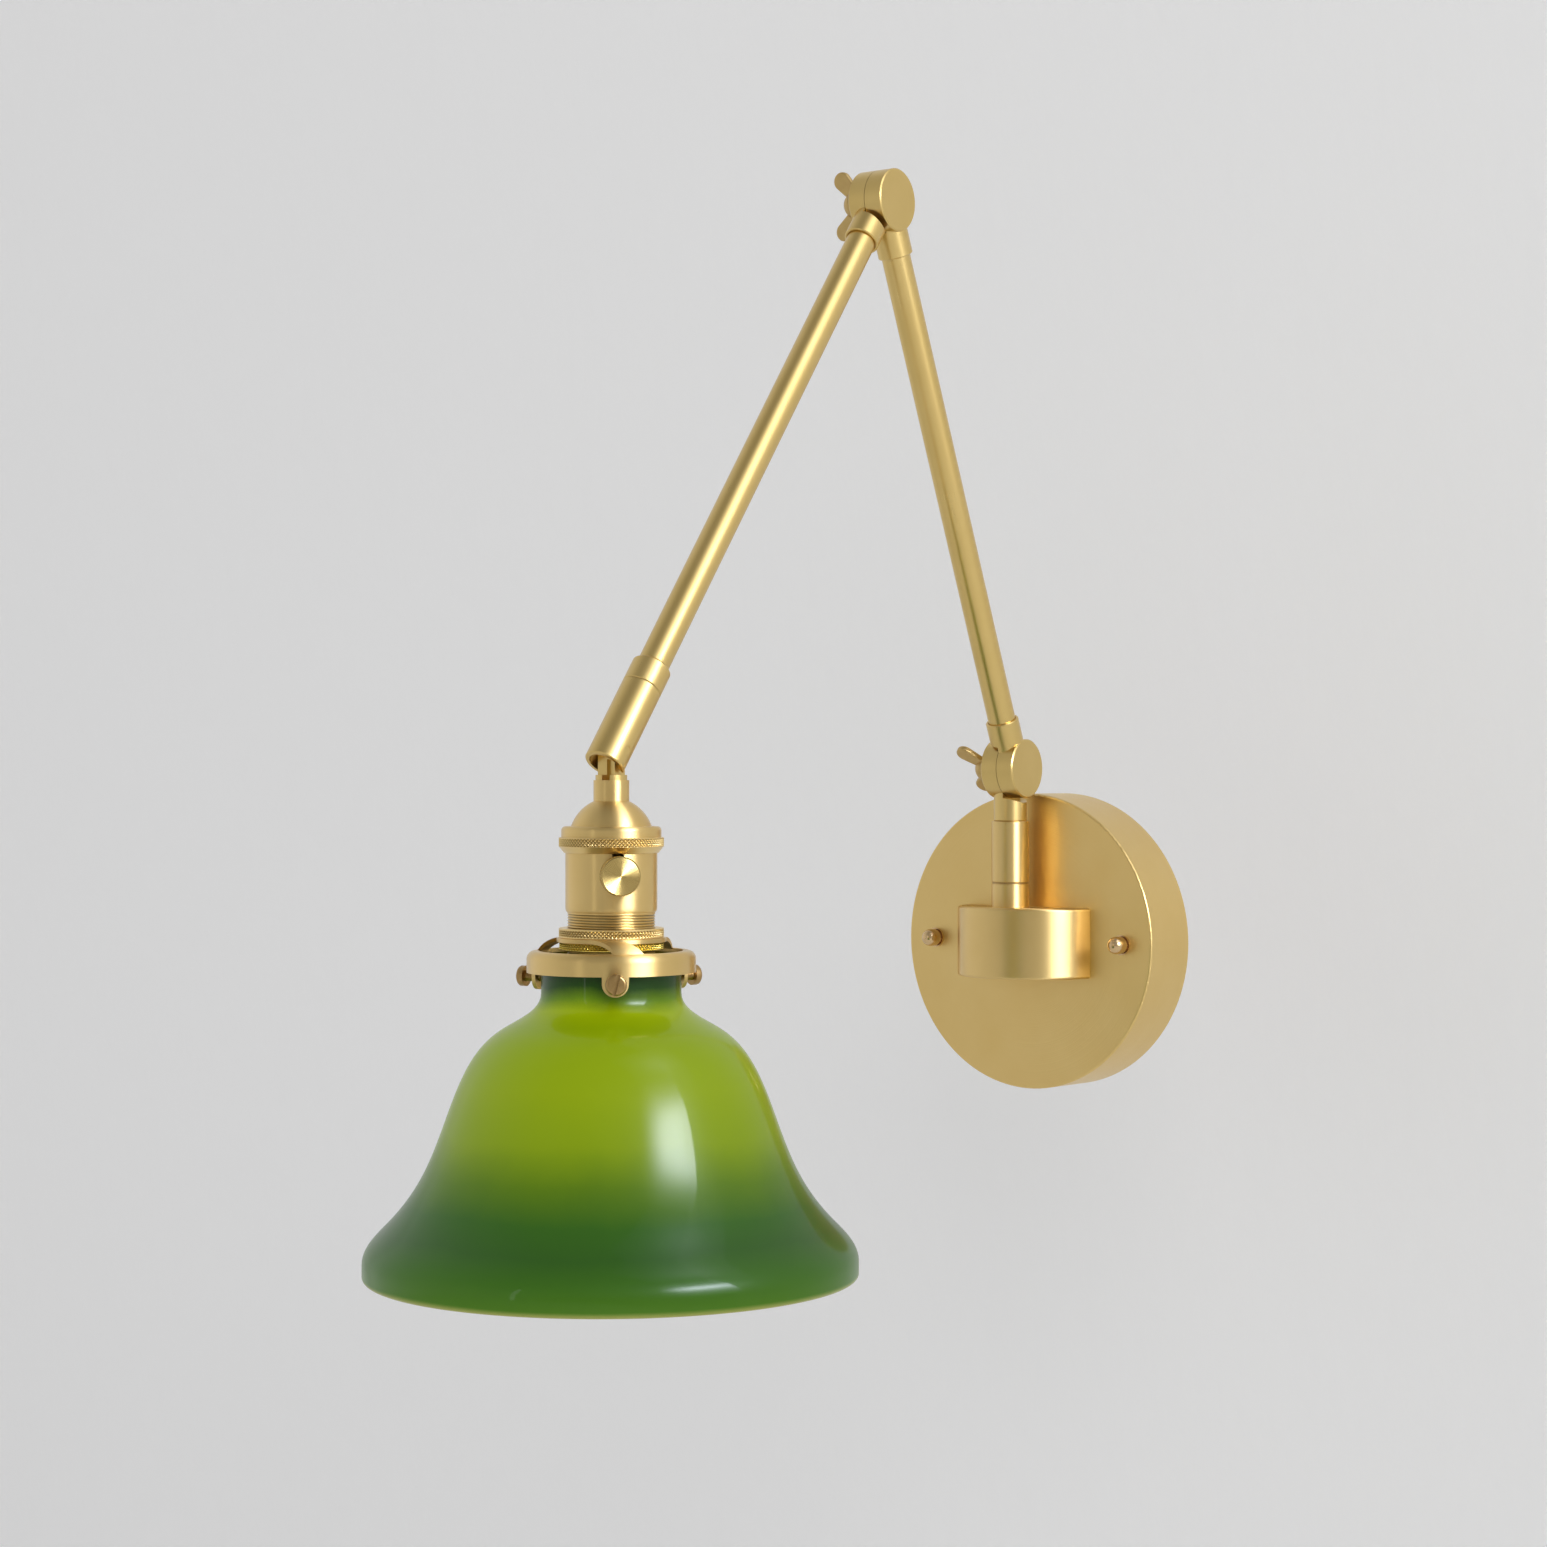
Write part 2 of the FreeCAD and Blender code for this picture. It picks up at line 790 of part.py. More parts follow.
def socket_shell():
    """Thin barrel with a stepped-down threaded end and a slot for the switch shaft."""
    body = turned([
        (shell_bore, shell_top),
        (shell_radius, shell_top),
        (shell_radius, step_top),
        (thread_radius, thread_top),
        (thread_radius, shell_foot),
        (shell_bore, shell_foot),
    ])
    half = shaft_radius + shell_slot_gap
    slot = block(Vector(-half, -far, knob_height), Vector(half, 0, 0))
    end = rod(half, Z_AXIS * knob_height, Z_AXIS * knob_height - Y_AXIS * far)
    cutter = slot.fuse(end)
    cutter.rotate(Vector(), Z_AXIS, knob_azimuth)
    return body.cut(cutter)


def insulator():
    """Ceramic cup round the lamp thread, closed at its top."""
    outer = shell_bore - fit_gap
    return turned([
        (0, insulator_top),
        (outer, insulator_top),
        (outer, insulator_foot),
        (insulator_bore, insulator_foot),
        (insulator_bore, insulator_top - insulator_floor),
        (0, insulator_top - insulator_floor),
    ])


def lamp_thread():
    """Thin metal shell that the lamp's cap screws into."""
    outer = insulator_bore - fit_gap
    low = insulator_foot + screw_shell_inset
    return ring(outer - screw_shell_wall, outer, low, low + screw_shell_height)


def centre_contact():
    """Domed contact button under the insulator's floor."""
    seat = insulator_top - insulator_floor - fit_gap
    low = seat - contact_height
    return turned([
        (0, seat),
        (contact_radius, seat),
        (contact_radius, seat - contact_height / 2),
        (contact_radius / 2, low),
        (0, low),
    ])


def switch_body():
    """Round switch block above the insulator, bored for the shaft."""
    outer = shell_bore - fit_gap
    low = insulator_top + fit_gap
    body = Part.makeCylinder(outer, switch_body_height, Z_AXIS * low)
    along = outward(knob_azimuth)
    start = Z_AXIS * knob_height + along * shaft_root
    return body.cut(rod(shaft_radius + running_gap, start, start + along * far))


def switch_shaft():
    """Round shaft from the switch block out to the knob."""
    middle = Z_AXIS * knob_height
    along = outward(knob_azimuth)
    inner = shaft_root + running_gap
    outer = shell_radius + knob_stand + shaft_grip
    return rod(shaft_radius, middle + along * inner, middle + along * outer)


def switch_knob():
    """Round knob with softened edges and a blind bore for the shaft."""
    bore = shaft_radius + fit_gap
    knob = turned([
        (bore, 0),
        (knob_radius - knob_edge, 0),
        (knob_radius, knob_edge),
        (knob_radius, knob_thickness - knob_edge),
        (knob_radius - knob_edge, knob_thickness),
        (0, knob_thickness),
        (0, shaft_grip + fit_gap),
        (bore, shaft_grip + fit_gap),
    ])
    seat = Z_AXIS * knob_height + outward(knob_azimuth) * (shell_radius + knob_stand)
    return aimed(knob, seat, outward(knob_azimuth), Z_AXIS)


# Gallery and glass
def shade_ring(radius, top, height):
    """Ring nut on the shell's thread."""
    return ring(thread_radius + running_gap, radius, top - height, top - fit_gap)


def screw_azimuths():
    """Directions of the gallery screws and their lugs."""
    return [lug_azimuth + 360 / shade_screws * i for i in range(shade_screws)]


def gallery_arm():
    """Bowed strap that sweeps sideways from the plate down to the band's shoulder, its foot at -Y."""
    inner = (shade_ring_radius + plate_radius) / 2
    outer = band_mouth + gallery_arm_seat
    head = (inner, plate_top)
    foot = (outer, band_top)
    low_head = (inner, plate_low)
    low_foot = (outer, band_top - band_wall)
    face = outline([
        head,
        bulge(head, foot, gallery_arm_bend) + foot,
        low_foot,
        bulge(low_head, low_foot, gallery_arm_bend) + low_head,
    ])
    wide = 2 * (gallery_arm_sweep + gallery_foot_angle)
    face.rotate(Vector(), Z_AXIS, -90 - wide / 2)
    strap = face.revolve(Vector(), Z_AXIS, wide)
    sides = []
    for side in (-0.5, 0.5):
        root = outward(side * gallery_root_angle - gallery_arm_sweep) * plate_radius
        end = outward(side * gallery_foot_angle) * band_mouth
        run_on = (end - root).normalize() * band_shoulder
        sides.append((root - run_on, end + run_on))
    (left_in, left_out), (right_in, right_out) = sides
    plan = Part.Face(Part.makePolygon([left_in, left_out, right_out, right_in, left_in]))
    plan.translate(Z_AXIS * -far)
    return strap.common(plan.extrude(Z_AXIS * 2 * far))


def lug(azimuth):
    """Rounded tab below the band, curved as the band is."""
    out = outward(azimuth)
    centre = Z_AXIS * shade_screw_height
    disc = rod(lug_radius, centre, centre + out * far)
    top = band_low + band_wall
    neck = block(Vector(-lug_radius, -far, shade_screw_height), Vector(lug_radius, 0, top))
    neck.rotate(Vector(), Z_AXIS, azimuth)
    wall = ring(band_radius - band_wall, band_radius, shade_screw_height - lug_radius, top)
    return wall.common(disc.fuse(neck))


def gallery():
    """Plate, three straps, a band with a rounded shoulder and three screw lugs in one piece."""
    plate = ring(thread_radius + running_gap, plate_radius, plate_low, plate_top)
    inner = band_radius - band_wall
    bend = band_radius - band_shoulder
    side_top = band_top - band_shoulder
    inside = (band_shoulder - band_wall) * diagonal
    band = turned([
        (inner, band_low),
        (band_radius, band_low),
        *rounded(band_radius, band_top, band_shoulder),
        (band_mouth, band_top),
        (band_mouth, band_top - band_wall),
        (bend, band_top - band_wall),
        (bend + inside, side_top + inside, inner, side_top),
    ])
    pieces = [band]
    for i in range(shade_screws):
        arm = gallery_arm()
        arm.rotate(Vector(), Z_AXIS, gallery_arm_azimuth + 360 / shade_screws * i)
        pieces.append(arm)
    pieces += [lug(azimuth) for azimuth in screw_azimuths()]
    body = plate.fuse(pieces).removeSplitter()
    holes = []
    for azimuth in screw_azimuths():
        start = Z_AXIS * shade_screw_height
        holes.append(rod(shade_screw_radius + fit_gap, start, start + outward(azimuth) * far))
    return body.cut(holes)


def gallery_screw():
    """Slotted screw along Z, its head's seat at zero and its point below."""
    length = band_radius + shade_screw_stand - neck_radius - screw_tip_gap
    screw = pan_screw(shade_screw_radius, length, shade_screw_head_radius, shade_screw_head_height)
    half = shade_screw_slot / 2
    low = Vector(-far, -half, shade_screw_head_height - shade_screw_slot)
    slot = block(low, Vector(far, half, far))
    slot.rotate(Vector(), Z_AXIS, shade_screw_turn)
    return screw.cut(slot)


def gallery_screws():
    """The screws round the band, pointing at the glass neck."""
    screws = []
    for azimuth in screw_azimuths():
        out = outward(azimuth)
        seat = Z_AXIS * shade_screw_height + out * (band_radius + shade_screw_stand)
        screws.append(aimed(gallery_screw(), seat, out, Z_AXIS))
    return Part.makeCompound(screws)


def bell_curve(points, start_slope, end_slope):
    """Smooth curve through (radius, height) points with its end directions given."""
    curve = Part.BSplineCurve()
    nodes = [Vector(r, 0, z) for r, z in points]
    curve.interpolate(Points=nodes, InitialTangent=start_slope, FinalTangent=end_slope)
    return curve


def glass_shade():
    """Blown bell: lip, neck, shoulder, waist and flared skirt, with an even wall."""
    neck_low = lip_low - neck_height
    drops = [
        (neck_radius, 0),
        (shoulder_radius, shoulder_drop),
        (crown_radius, crown_drop),
        (waist_radius, waist_drop),
        (flare_radius, flare_drop),
        (skirt_radius, skirt_drop),
        (rim_radius, rim_drop),
    ]
    outer_points = [(r, neck_low - drop) for r, drop in drops]
    outer = bell_curve(outer_points, -Z_AXIS, -Z_AXIS)
    inner_points = []
    for r, z in outer_points:
        along = outer.tangent(outer.parameter(Vector(r, 0, z)))[0]
        inner_points.append((r + along.z * glass_wall, z - along.x * glass_wall))
    inner = bell_curve(inner_points, -Z_AXIS, -Z_AXIS)
    lip_top = lip_low + lip_height
    bore = neck_radius - glass_wall
    rim_low = neck_low - rim_drop - rim_lip
    lip_points = [
        Vector(inner_points[0][0], 0, inner_points[0][1]),
        Vector(bore, 0, lip_top),
        Vector(lip_radius, 0, lip_top),
        Vector(lip_radius, 0, lip_low),
        Vector(neck_radius, 0, lip_low),
        Vector(neck_radius, 0, neck_low),
    ]
    edges = [Part.LineSegment(a, b).toShape() for a, b in zip(lip_points, lip_points[1:])]
    rim_outer = Vector(rim_radius, 0, rim_low)
    rim_inner = Vector(rim_radius - glass_wall, 0, rim_low)
    rim_bottom = Vector(rim_radius - glass_wall / 2, 0, rim_low - glass_wall / 2)
    edges.append(outer.toShape())
    edges.append(Part.LineSegment(outer.EndPoint, rim_outer).toShape())
    edges.append(Part.Arc(rim_outer, rim_bottom, rim_inner).toShape())
    edges.append(Part.LineSegment(rim_inner, inner.EndPoint).toShape())
    edges.append(inner.toShape())
    wire = Part.Wire(Part.__sortEdges__(edges))
    return Part.Face(wire).revolve(Vector(), Z_AXIS, 360)


# Fixed pieces
fixed("wall_canopy", canopy())
fixed("mounting_bracket", bracket())
studs = []
nuts = []
hub_fixings = []
for side in (-1, 1):
    stud_at = X_AXIS * side * stud_spread
    face_at = stud_at - Y_AXIS * canopy_depth
    studs.append(rod(stud_radius, stud_at, face_at - Y_AXIS * (nut_thread_depth - screw_gap)))
    nuts.append(aimed(cap_nut(), face_at, -Y_AXIS, X_AXIS))
    inside = Vector(side * hub_screw_spread, canopy_wall - canopy_depth, 0)
    screw = pan_screw(hub_screw_radius, hub_screw_grip + canopy_wall, hub_screw_head_radius,
                      hub_screw_head_height)
    hub_fixings.append(aimed(screw, inside, Y_AXIS, X_AXIS))
fixed("canopy_studs", Part.makeCompound(studs))
fixed("cap_nuts", Part.makeCompound(nuts))
earth_screw = pan_screw(earth_screw_radius, bracket_thickness, earth_head_radius, earth_head_height)
earth_at = Vector(earth_screw_offset, -bracket_thickness, 0)
fixed("earth_screw", aimed(earth_screw, earth_at, -Y_AXIS, X_AXIS))
fixed("swivel_hub", hub())
fixed("hub_screws", Part.makeCompound(hub_fixings))
locknut = hex_nut(locknut_width, locknut_height, stub_tail_radius + fit_gap)
nut_low = sleeve_foot + swivel_length + swivel_play
nut_outer = sleeve_bore_radius - screw_gap
washer_outer = stem_radius - swivel_washer_inset
washer_top = swivel_line + swivel_washer_thickness
stem_pieces = {
    "stem_stub": stem_stub(),
    "stub_locknut": aimed(locknut, Z_AXIS * (hub_top - hub_wall), Z_AXIS, X_AXIS),
    "swivel_washer": ring(swivel_radius + running_gap, washer_outer, swivel_line, washer_top),
    "swivel_nut": ring(swivel_thread_radius + fit_gap, nut_outer, nut_low, nut_low + swivel_nut_height),
}
for name, shape in stem_pieces.items():
    shape.translate(stem_foot)
    fixed(name, shape)

# Swivelling stem
sleeve = stem_sleeve()
sleeve.translate(stem_foot)
swung("stem_sleeve", sleeve)
joint_plane = X_AXIS * collar_shift
stem_half = turned_over(base_half())
stem_half.translate(lower_pivot + joint_plane)
swung("lower_knuckle_base", stem_half)

# Lower arm, whose tube lies twice the collar shift from the stem's plane
tube_plane = X_AXIS * 2 * collar_shift
arm_end = Z_AXIS * lower_arm_length
low_half = plain_half()
low_half.translate(joint_plane)
swung("lower_knuckle_arm", on_lower_arm(low_half))
high_half = turned_over(plain_half())
high_half.translate(joint_plane + arm_end)
swung("upper_knuckle_arm", on_lower_arm(high_half))
tube_seat = collar_reach - socket_depth + fit_gap
lower_tube = tube(tube_seat, lower_arm_length - tube_seat)
lower_tube.translate(tube_plane)
swung("lower_arm_tube", on_lower_arm(lower_tube))
joints = {
    "lower": (lower_pivot, lower_wing_angle),
    "upper": (upper_pivot, upper_wing_angle),
}
for place, (pivot, wing_angle) in joints.items():
    stud = pivot_stud()
    stud.translate(pivot + joint_plane)
    swung(place + "_pivot_stud", stud)
    washer = friction_washer()
    washer.translate(pivot + joint_plane)
    swung(place + "_friction_washer", washer)
    swung(place + "_wing_nut", wing_nut_at(pivot, wing_angle))

# Forearm and tilt cup
fore_half = turned_over(arm_knuckle(-1).cut(through_hole()))
fore_half.translate(joint_plane + Z_AXIS * forearm_length)
swung("upper_knuckle_forearm", on_forearm(fore_half))
fore_low = cup_joint + face_gap + cup_collar_length - socket_depth + fit_gap
swung("forearm_tube", on_forearm(tube(fore_low, forearm_length - tube_seat)))
swung("cup_collar", on_forearm(cup_collar()))
retainer_top = cup_joint - cup_bearing_length - face_gap
retainer_low = retainer_top - cup_retainer_height
retainer = ring(cup_thread_radius + fit_gap, cup_bore_radius - screw_gap, retainer_low, retainer_top)
swung("cup_retainer", on_forearm(retainer))
swung("tilt_cup", on_forearm(tilt_cup()))
pin_half = cup_radius - tilt_pin_inset
swung("tilt_pin", on_forearm(rod(tilt_pin_radius, X_AXIS * -pin_half, X_AXIS * pin_half)))

# Lamp head
head_pieces = {
    "tilt_spigot": tilt_spigot(),
    "socket_cap": socket_cap(),
    "cap_ring": cap_ring(),
    "socket_shell": socket_shell(),
    "socket_insulator": insulator(),
    "screw_shell": lamp_thread(),
    "centre_contact": centre_contact(),
    "switch_body": switch_body(),
    "switch_shaft": switch_shaft(),
    "switch_knob": switch_knob(),
    "upper_shade_ring": shade_ring(shade_ring_radius, upper_ring_top, shade_ring_height),
    "lower_shade_ring": shade_ring(lower_ring_radius, plate_low, lower_ring_height),
    "shade_gallery": gallery(),
    "gallery_screws": gallery_screws(),
    "glass_shade": glass_shade(),
}
for name, shape in head_pieces.items():
    swung(name, on_head(shape))

os.makedirs("parts", exist_ok=True)
for name, shape in parts.items():
    shape.exportStep("parts/" + name + ".step")
    print(name, len(shape.Solids), shape.isValid(), round(shape.Volume, 1))
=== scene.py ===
import json
import logging
import math
from dataclasses import dataclass
from enum import Enum

import bmesh
import bpy
import numpy as np
from mathutils import Matrix, Vector


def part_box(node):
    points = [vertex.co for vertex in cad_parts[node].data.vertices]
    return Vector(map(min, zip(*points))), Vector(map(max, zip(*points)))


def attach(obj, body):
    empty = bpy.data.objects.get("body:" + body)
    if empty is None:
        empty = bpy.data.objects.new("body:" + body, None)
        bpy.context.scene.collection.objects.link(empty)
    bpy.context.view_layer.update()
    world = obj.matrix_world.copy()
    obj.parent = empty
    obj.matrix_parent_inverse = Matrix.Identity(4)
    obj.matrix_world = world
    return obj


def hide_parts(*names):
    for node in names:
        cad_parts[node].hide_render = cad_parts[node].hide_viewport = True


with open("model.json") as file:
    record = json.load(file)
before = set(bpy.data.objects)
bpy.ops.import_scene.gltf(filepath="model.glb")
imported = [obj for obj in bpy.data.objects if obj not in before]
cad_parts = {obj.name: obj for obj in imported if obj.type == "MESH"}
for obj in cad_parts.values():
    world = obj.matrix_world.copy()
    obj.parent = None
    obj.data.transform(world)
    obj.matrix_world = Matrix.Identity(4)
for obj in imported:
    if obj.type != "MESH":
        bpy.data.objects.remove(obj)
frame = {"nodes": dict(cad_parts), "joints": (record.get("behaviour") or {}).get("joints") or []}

# Swing arm wall lamp: satin brass arms and a green glass bell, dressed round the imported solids.
# Everything is in metres, with X along the wall, Y into the wall and Z up.

log = logging.getLogger("wall_lamp")
Colour = tuple[float, float, float]
Point = tuple[float, float]
Piece = bpy.types.Object
Material = bpy.types.Material

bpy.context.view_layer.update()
MM = 0.001
JOINTS = {joint["name"]: joint for joint in frame["joints"]}
X_AXIS = Vector((1, 0, 0))
Y_AXIS = Vector((0, 1, 0))
Z_AXIS = Vector((0, 0, 1))
SUNK = "sunk"
ON_AXIS = 1e-7


def pivot(joint: str) -> Vector:
    """Point that a joint turns about."""
    return Vector(JOINTS[joint]["pos_m"])


def direction(joint: str) -> Vector:
    """Unit vector along a joint's axis."""
    return Vector(JOINTS[joint]["axis"]).normalized()


# Node trees


class Term:
    """A value in a node tree; operators on it add Math nodes."""

    def __init__(self, net: "Net", socket: bpy.types.NodeSocket) -> None:
        """Keeps the net and the socket that gives the value."""
        self.net = net
        self.socket = socket

    def math(self, operation: str, *others: "Term | float") -> "Term":
        """Adds a Math node with this value first.

        Args:
            operation: The Math node's operation.
            others: Values or links of its other sockets.

        Returns:
            The node's result.
        """
        return self.net.make("ShaderNodeMath", {"operation": operation}, dict(enumerate((self, *others))))

    def after(self, operation: str, first: float) -> "Term":
        """Adds a Math node with a plain number first and this value second."""
        return self.net.make("ShaderNodeMath", {"operation": operation}, {0: first, 1: self})

    def __add__(self, other: "Term | float") -> "Term":
        """Sum."""
        return self.math("ADD", other)

    def __sub__(self, other: "Term | float") -> "Term":
        """Difference."""
        return self.math("SUBTRACT", other)

    def __rsub__(self, other: float) -> "Term":
        """Difference from a plain number."""
        return self.after("SUBTRACT", other)

    def __mul__(self, other: "Term | float") -> "Term":
        """Product."""
        return self.math("MULTIPLY", other)

    def __truediv__(self, other: "Term | float") -> "Term":
        """Quotient."""
        return self.math("DIVIDE", other)

    def __rtruediv__(self, other: float) -> "Term":
        """Quotient of a plain number."""
        return self.after("DIVIDE", other)

    def __gt__(self, other: "Term | float") -> "Term":
        """One where this value is the larger, and zero elsewhere."""
        return self.math("GREATER_THAN", other)

    def __lt__(self, other: "Term | float") -> "Term":
        """One where this value is the smaller, and zero elsewhere."""
        return self.math("LESS_THAN", other)

    def ridge(self) -> "Term":
        """Triangle wave of period one that is one at whole numbers and zero halfway."""
        return ((self.math("FRACT") - 0.5).math("ABSOLUTE")) * 2

    def wave(self) -> "Term":
        """Smooth wave of period one that is one at whole numbers and zero halfway."""
        return (self * math.tau).math("COSINE") * 0.5 + 0.5

    def dot(self, axis: Vector) -> "Term":
        """Part of a vector along a fixed axis."""
        return self.vector("DOT_PRODUCT", tuple(axis), output="Value")

    def vector(self, operation: str, *others: "Term | tuple", output: str = "Vector") -> "Term":
        """Adds a Vector Math node with this vector first.

        Args:
            operation: The node's operation.
            others: Values or links of its other sockets.
            output: Name of the wanted output.

        Returns:
            The node's result.
        """
        inputs = dict(enumerate((self, *others)))
        return self.net.make("ShaderNodeVectorMath", {"operation": operation}, inputs, output)

    def other(self, output: str) -> "Term":
        """Another output of the node that gives this value."""
        return Term(self.net, self.socket.node.outputs[output])


class Net:
    """A node tree whose nodes all come from one method."""

    def __init__(self, tree: bpy.types.NodeTree) -> None:
        """Keeps the tree and empties it."""
        self.tree = tree
        tree.nodes.clear()

    def make(self, kind: str, settings: dict | None = None, inputs: dict | None = None,
             output: int | str = 0) -> Term | None:
        """Adds a node, sets it and links it.

        Args:
            kind: The node's type.
            settings: Its properties, set first; stops are a ramp's (place, colour) pairs.
            inputs: Values or links by socket name or number.
            output: Name or number of the wanted output.

        Returns:
            The wanted output, or None for a node that has none.
        """
        node = self.tree.nodes.new(kind)
        for key, value in (settings or {}).items():
            if key == "stops":
                self.set_stops(node.color_ramp, value)
            else:
                setattr(node, key, value)
        for key, value in (inputs or {}).items():
            if isinstance(value, Term):
                self.tree.links.new(value.socket, node.inputs[key])
            else:
                node.inputs[key].default_value = value
        return Term(self, node.outputs[output]) if len(node.outputs) else None

    @staticmethod
    def set_stops(ramp: bpy.types.ColorRamp, stops: list[tuple[float, Colour]]) -> None:
        """Gives a colour ramp its stops.

        Args:
            ramp: The ramp.
            stops: Its (place, colour) pairs, in order.
        """
        ramp.interpolation = "LINEAR"
        while len(ramp.elements) < len(stops):
            ramp.elements.new(1.0)
        for element, (place, colour) in zip(ramp.elements, stops):
            element.position = place
            element.color = (*colour, 1.0)

    def noise(self, vector: Term, scale: float, detail: float = 2.0) -> Term:
        """Noise from zero to one at a number of cells per metre."""
        return self.make("ShaderNodeTexNoise", {}, {"Vector": vector, "Scale": scale, "Detail": detail})

    def mix(self, factor: Term | float, first: Term | Colour, second: Term | Colour) -> Term:
        """Colour between two others."""
        ends = [c if isinstance(c, Term) else (*c, 1.0) for c in (first, second)]
        return self.make("ShaderNodeMix", {"data_type": "RGBA"}, {0: factor, 6: ends[0], 7: ends[1]}, 2)

    def bump(self, height: Term, depth: float, strength: float = 1.0) -> Term:
        """Surface normal roughened by a height from zero to one over a depth in metres."""
        return self.make("ShaderNodeBump", {}, {"Height": height, "Distance": depth, "Strength": strength})


class ShaderNet(Net):
    """The tree of a new material, with its Principled shader made last."""

    def __init__(self, name: str) -> None:
        """Makes the material and its empty tree.

        Args:
            name: Name of the material.
        """
        self.material = bpy.data.materials.new(name)
        self.material.use_nodes = True
        super().__init__(self.material.node_tree)
        self.point = self.make("ShaderNodeTexCoord", output="Object")

    def finish(self, **inputs: Term | float | tuple) -> Material:
        """Adds the Principled shader and the output.

        Args:
            inputs: Socket values by name, with underscores for spaces.

        Returns:
            The material.
        """
        named = {key.replace("_", " "): value for key, value in inputs.items()}
        shader = self.make("ShaderNodeBsdfPrincipled", {}, named)
        self.make("ShaderNodeOutputMaterial", {}, {"Surface": shader})
        return self.material


class Relief(Enum):
    """Patterns that are pressed or cut into a turned piece."""

    KNURL = "diamond_knurl"
    THREAD = "screw_thread"
    ROLLED = "rolled_thread"


class ShapeTree(Net):
    """Geometry Nodes tree that takes a shape, its sizes and its finish."""

    def __init__(self, name: str, sizes: dict[str, str]) -> None:
        """Makes the tree and its inputs.

        Args:
            name: Name of the tree.
            sizes: Socket types of the sizes by name.
        """
        super().__init__(bpy.data.node_groups.new(name, "GeometryNodeTree"))
        inputs = {"Geometry": "NodeSocketGeometry", **sizes, "Finish": "NodeSocketMaterial"}
        for title, kind in inputs.items():
            self.tree.interface.new_socket(title, in_out="INPUT", socket_type=kind)
        self.tree.interface.new_socket("Geometry", in_out="OUTPUT", socket_type="NodeSocketGeometry")
        self.given = self.make("NodeGroupInput", output="Geometry")

    def close(self, shape: Term) -> None:
        """Ends the tree with realized instances and their material.

        Args:
            shape: The geometry.
        """
        real = self.make("GeometryNodeRealizeInstances", {}, {"Geometry": shape})
        finish = self.given.other("Finish")
        dressed = self.make("GeometryNodeSetMaterial", {}, {"Geometry": real, "Material": finish})
        self.make("NodeGroupOutput", {}, {0: dressed})

    def run(self, piece: Piece, **values: float | Material) -> None:
        """Runs the tree on a piece and keeps the result as its plain mesh.

        Args:
            piece: The piece.
            values: The tree's inputs by name, in lower case.
        """
        modifier = piece.modifiers.new(self.tree.name, "NODES")
        modifier.node_group = self.tree
        for item in self.tree.interface.items_tree:
            if item.in_out == "INPUT" and item.name.lower() in values:
                modifier[item.identifier] = values[item.name.lower()]
        keep_result(piece)


class ReliefTree(ShapeTree):
    """Tree that sinks a repeating pattern into a piece turned about Z."""

    made: dict[Relief, "ReliefTree"] = {}
    SIZES = ("Radius", "Low", "High", "Depth", "Count", "Pitch")
    CREST_SLOPE = 1.6
    LEAST_RADIUS = 0.1 * MM

    def __init__(self, pattern: Relief) -> None:
        """Builds the tree for one pattern.

        Args:
            pattern: The pattern.
        """
        super().__init__(pattern.value, dict.fromkeys(self.SIZES, "NodeSocketFloat"))
        size = {name: self.given.other(name) for name in self.SIZES}
        x = self.make("ShaderNodeSeparateXYZ", {}, {0: self.make("GeometryNodeInputPosition")}, "X")
        y, z = x.other("Y"), x.other("Z")
        radius = (x * x + y * y).math("SQRT")
        around = y.math("ARCTAN2", x) / math.tau * size["Count"]
        along = (z - size["Low"]) / size["Pitch"]
        rise = self.rise(pattern, along, around)
        inside = (radius > size["Radius"]) * (z > size["Low"]) * (z < size["High"])
        sunk = (1 - rise) * inside
        share = 1 - sunk * size["Depth"] / radius.math("MAXIMUM", self.LEAST_RADIUS)
        place = self.make("ShaderNodeCombineXYZ", {}, {0: x * share, 1: y * share, 2: z})
        marked = self.make("GeometryNodeStoreNamedAttribute", {"data_type": "FLOAT", "domain": "POINT"},
                           {"Geometry": self.given, "Name": SUNK, "Value": sunk})
        self.close(self.make("GeometryNodeSetPosition", {}, {"Geometry": marked, "Position": place}))

    @classmethod
    def rise(cls, pattern: Relief, along: Term, around: Term) -> Term:
        """Height of a pattern, from zero in its grooves to one on its crests.

        Args:
            pattern: The pattern.
            along: Place along the axis, in pitches.
            around: Place round the axis, in repeats.

        Returns:
            The height.
        """
        if pattern is Relief.KNURL:
            crossed = (along + around).ridge().math("MINIMUM", (along - around).ridge())
            return (crossed * cls.CREST_SLOPE).math("MINIMUM", 1.0)
        if pattern is Relief.THREAD:
            return (along + around).ridge()
        return (along + around).wave()

    @classmethod
    def press(cls, piece: Piece, pattern: Relief, finish: Material,
              **sizes: float) -> None:
        """Sinks a pattern into a piece that still stands about the origin.

        Args:
            piece: The turned piece.
            pattern: The pattern to sink.
            finish: The piece's material.
            sizes: The tree's sizes, in lower case.
        """
        if pattern not in cls.made:
            cls.made[pattern] = cls(pattern)
        cls.made[pattern].run(piece, finish=finish, **sizes)


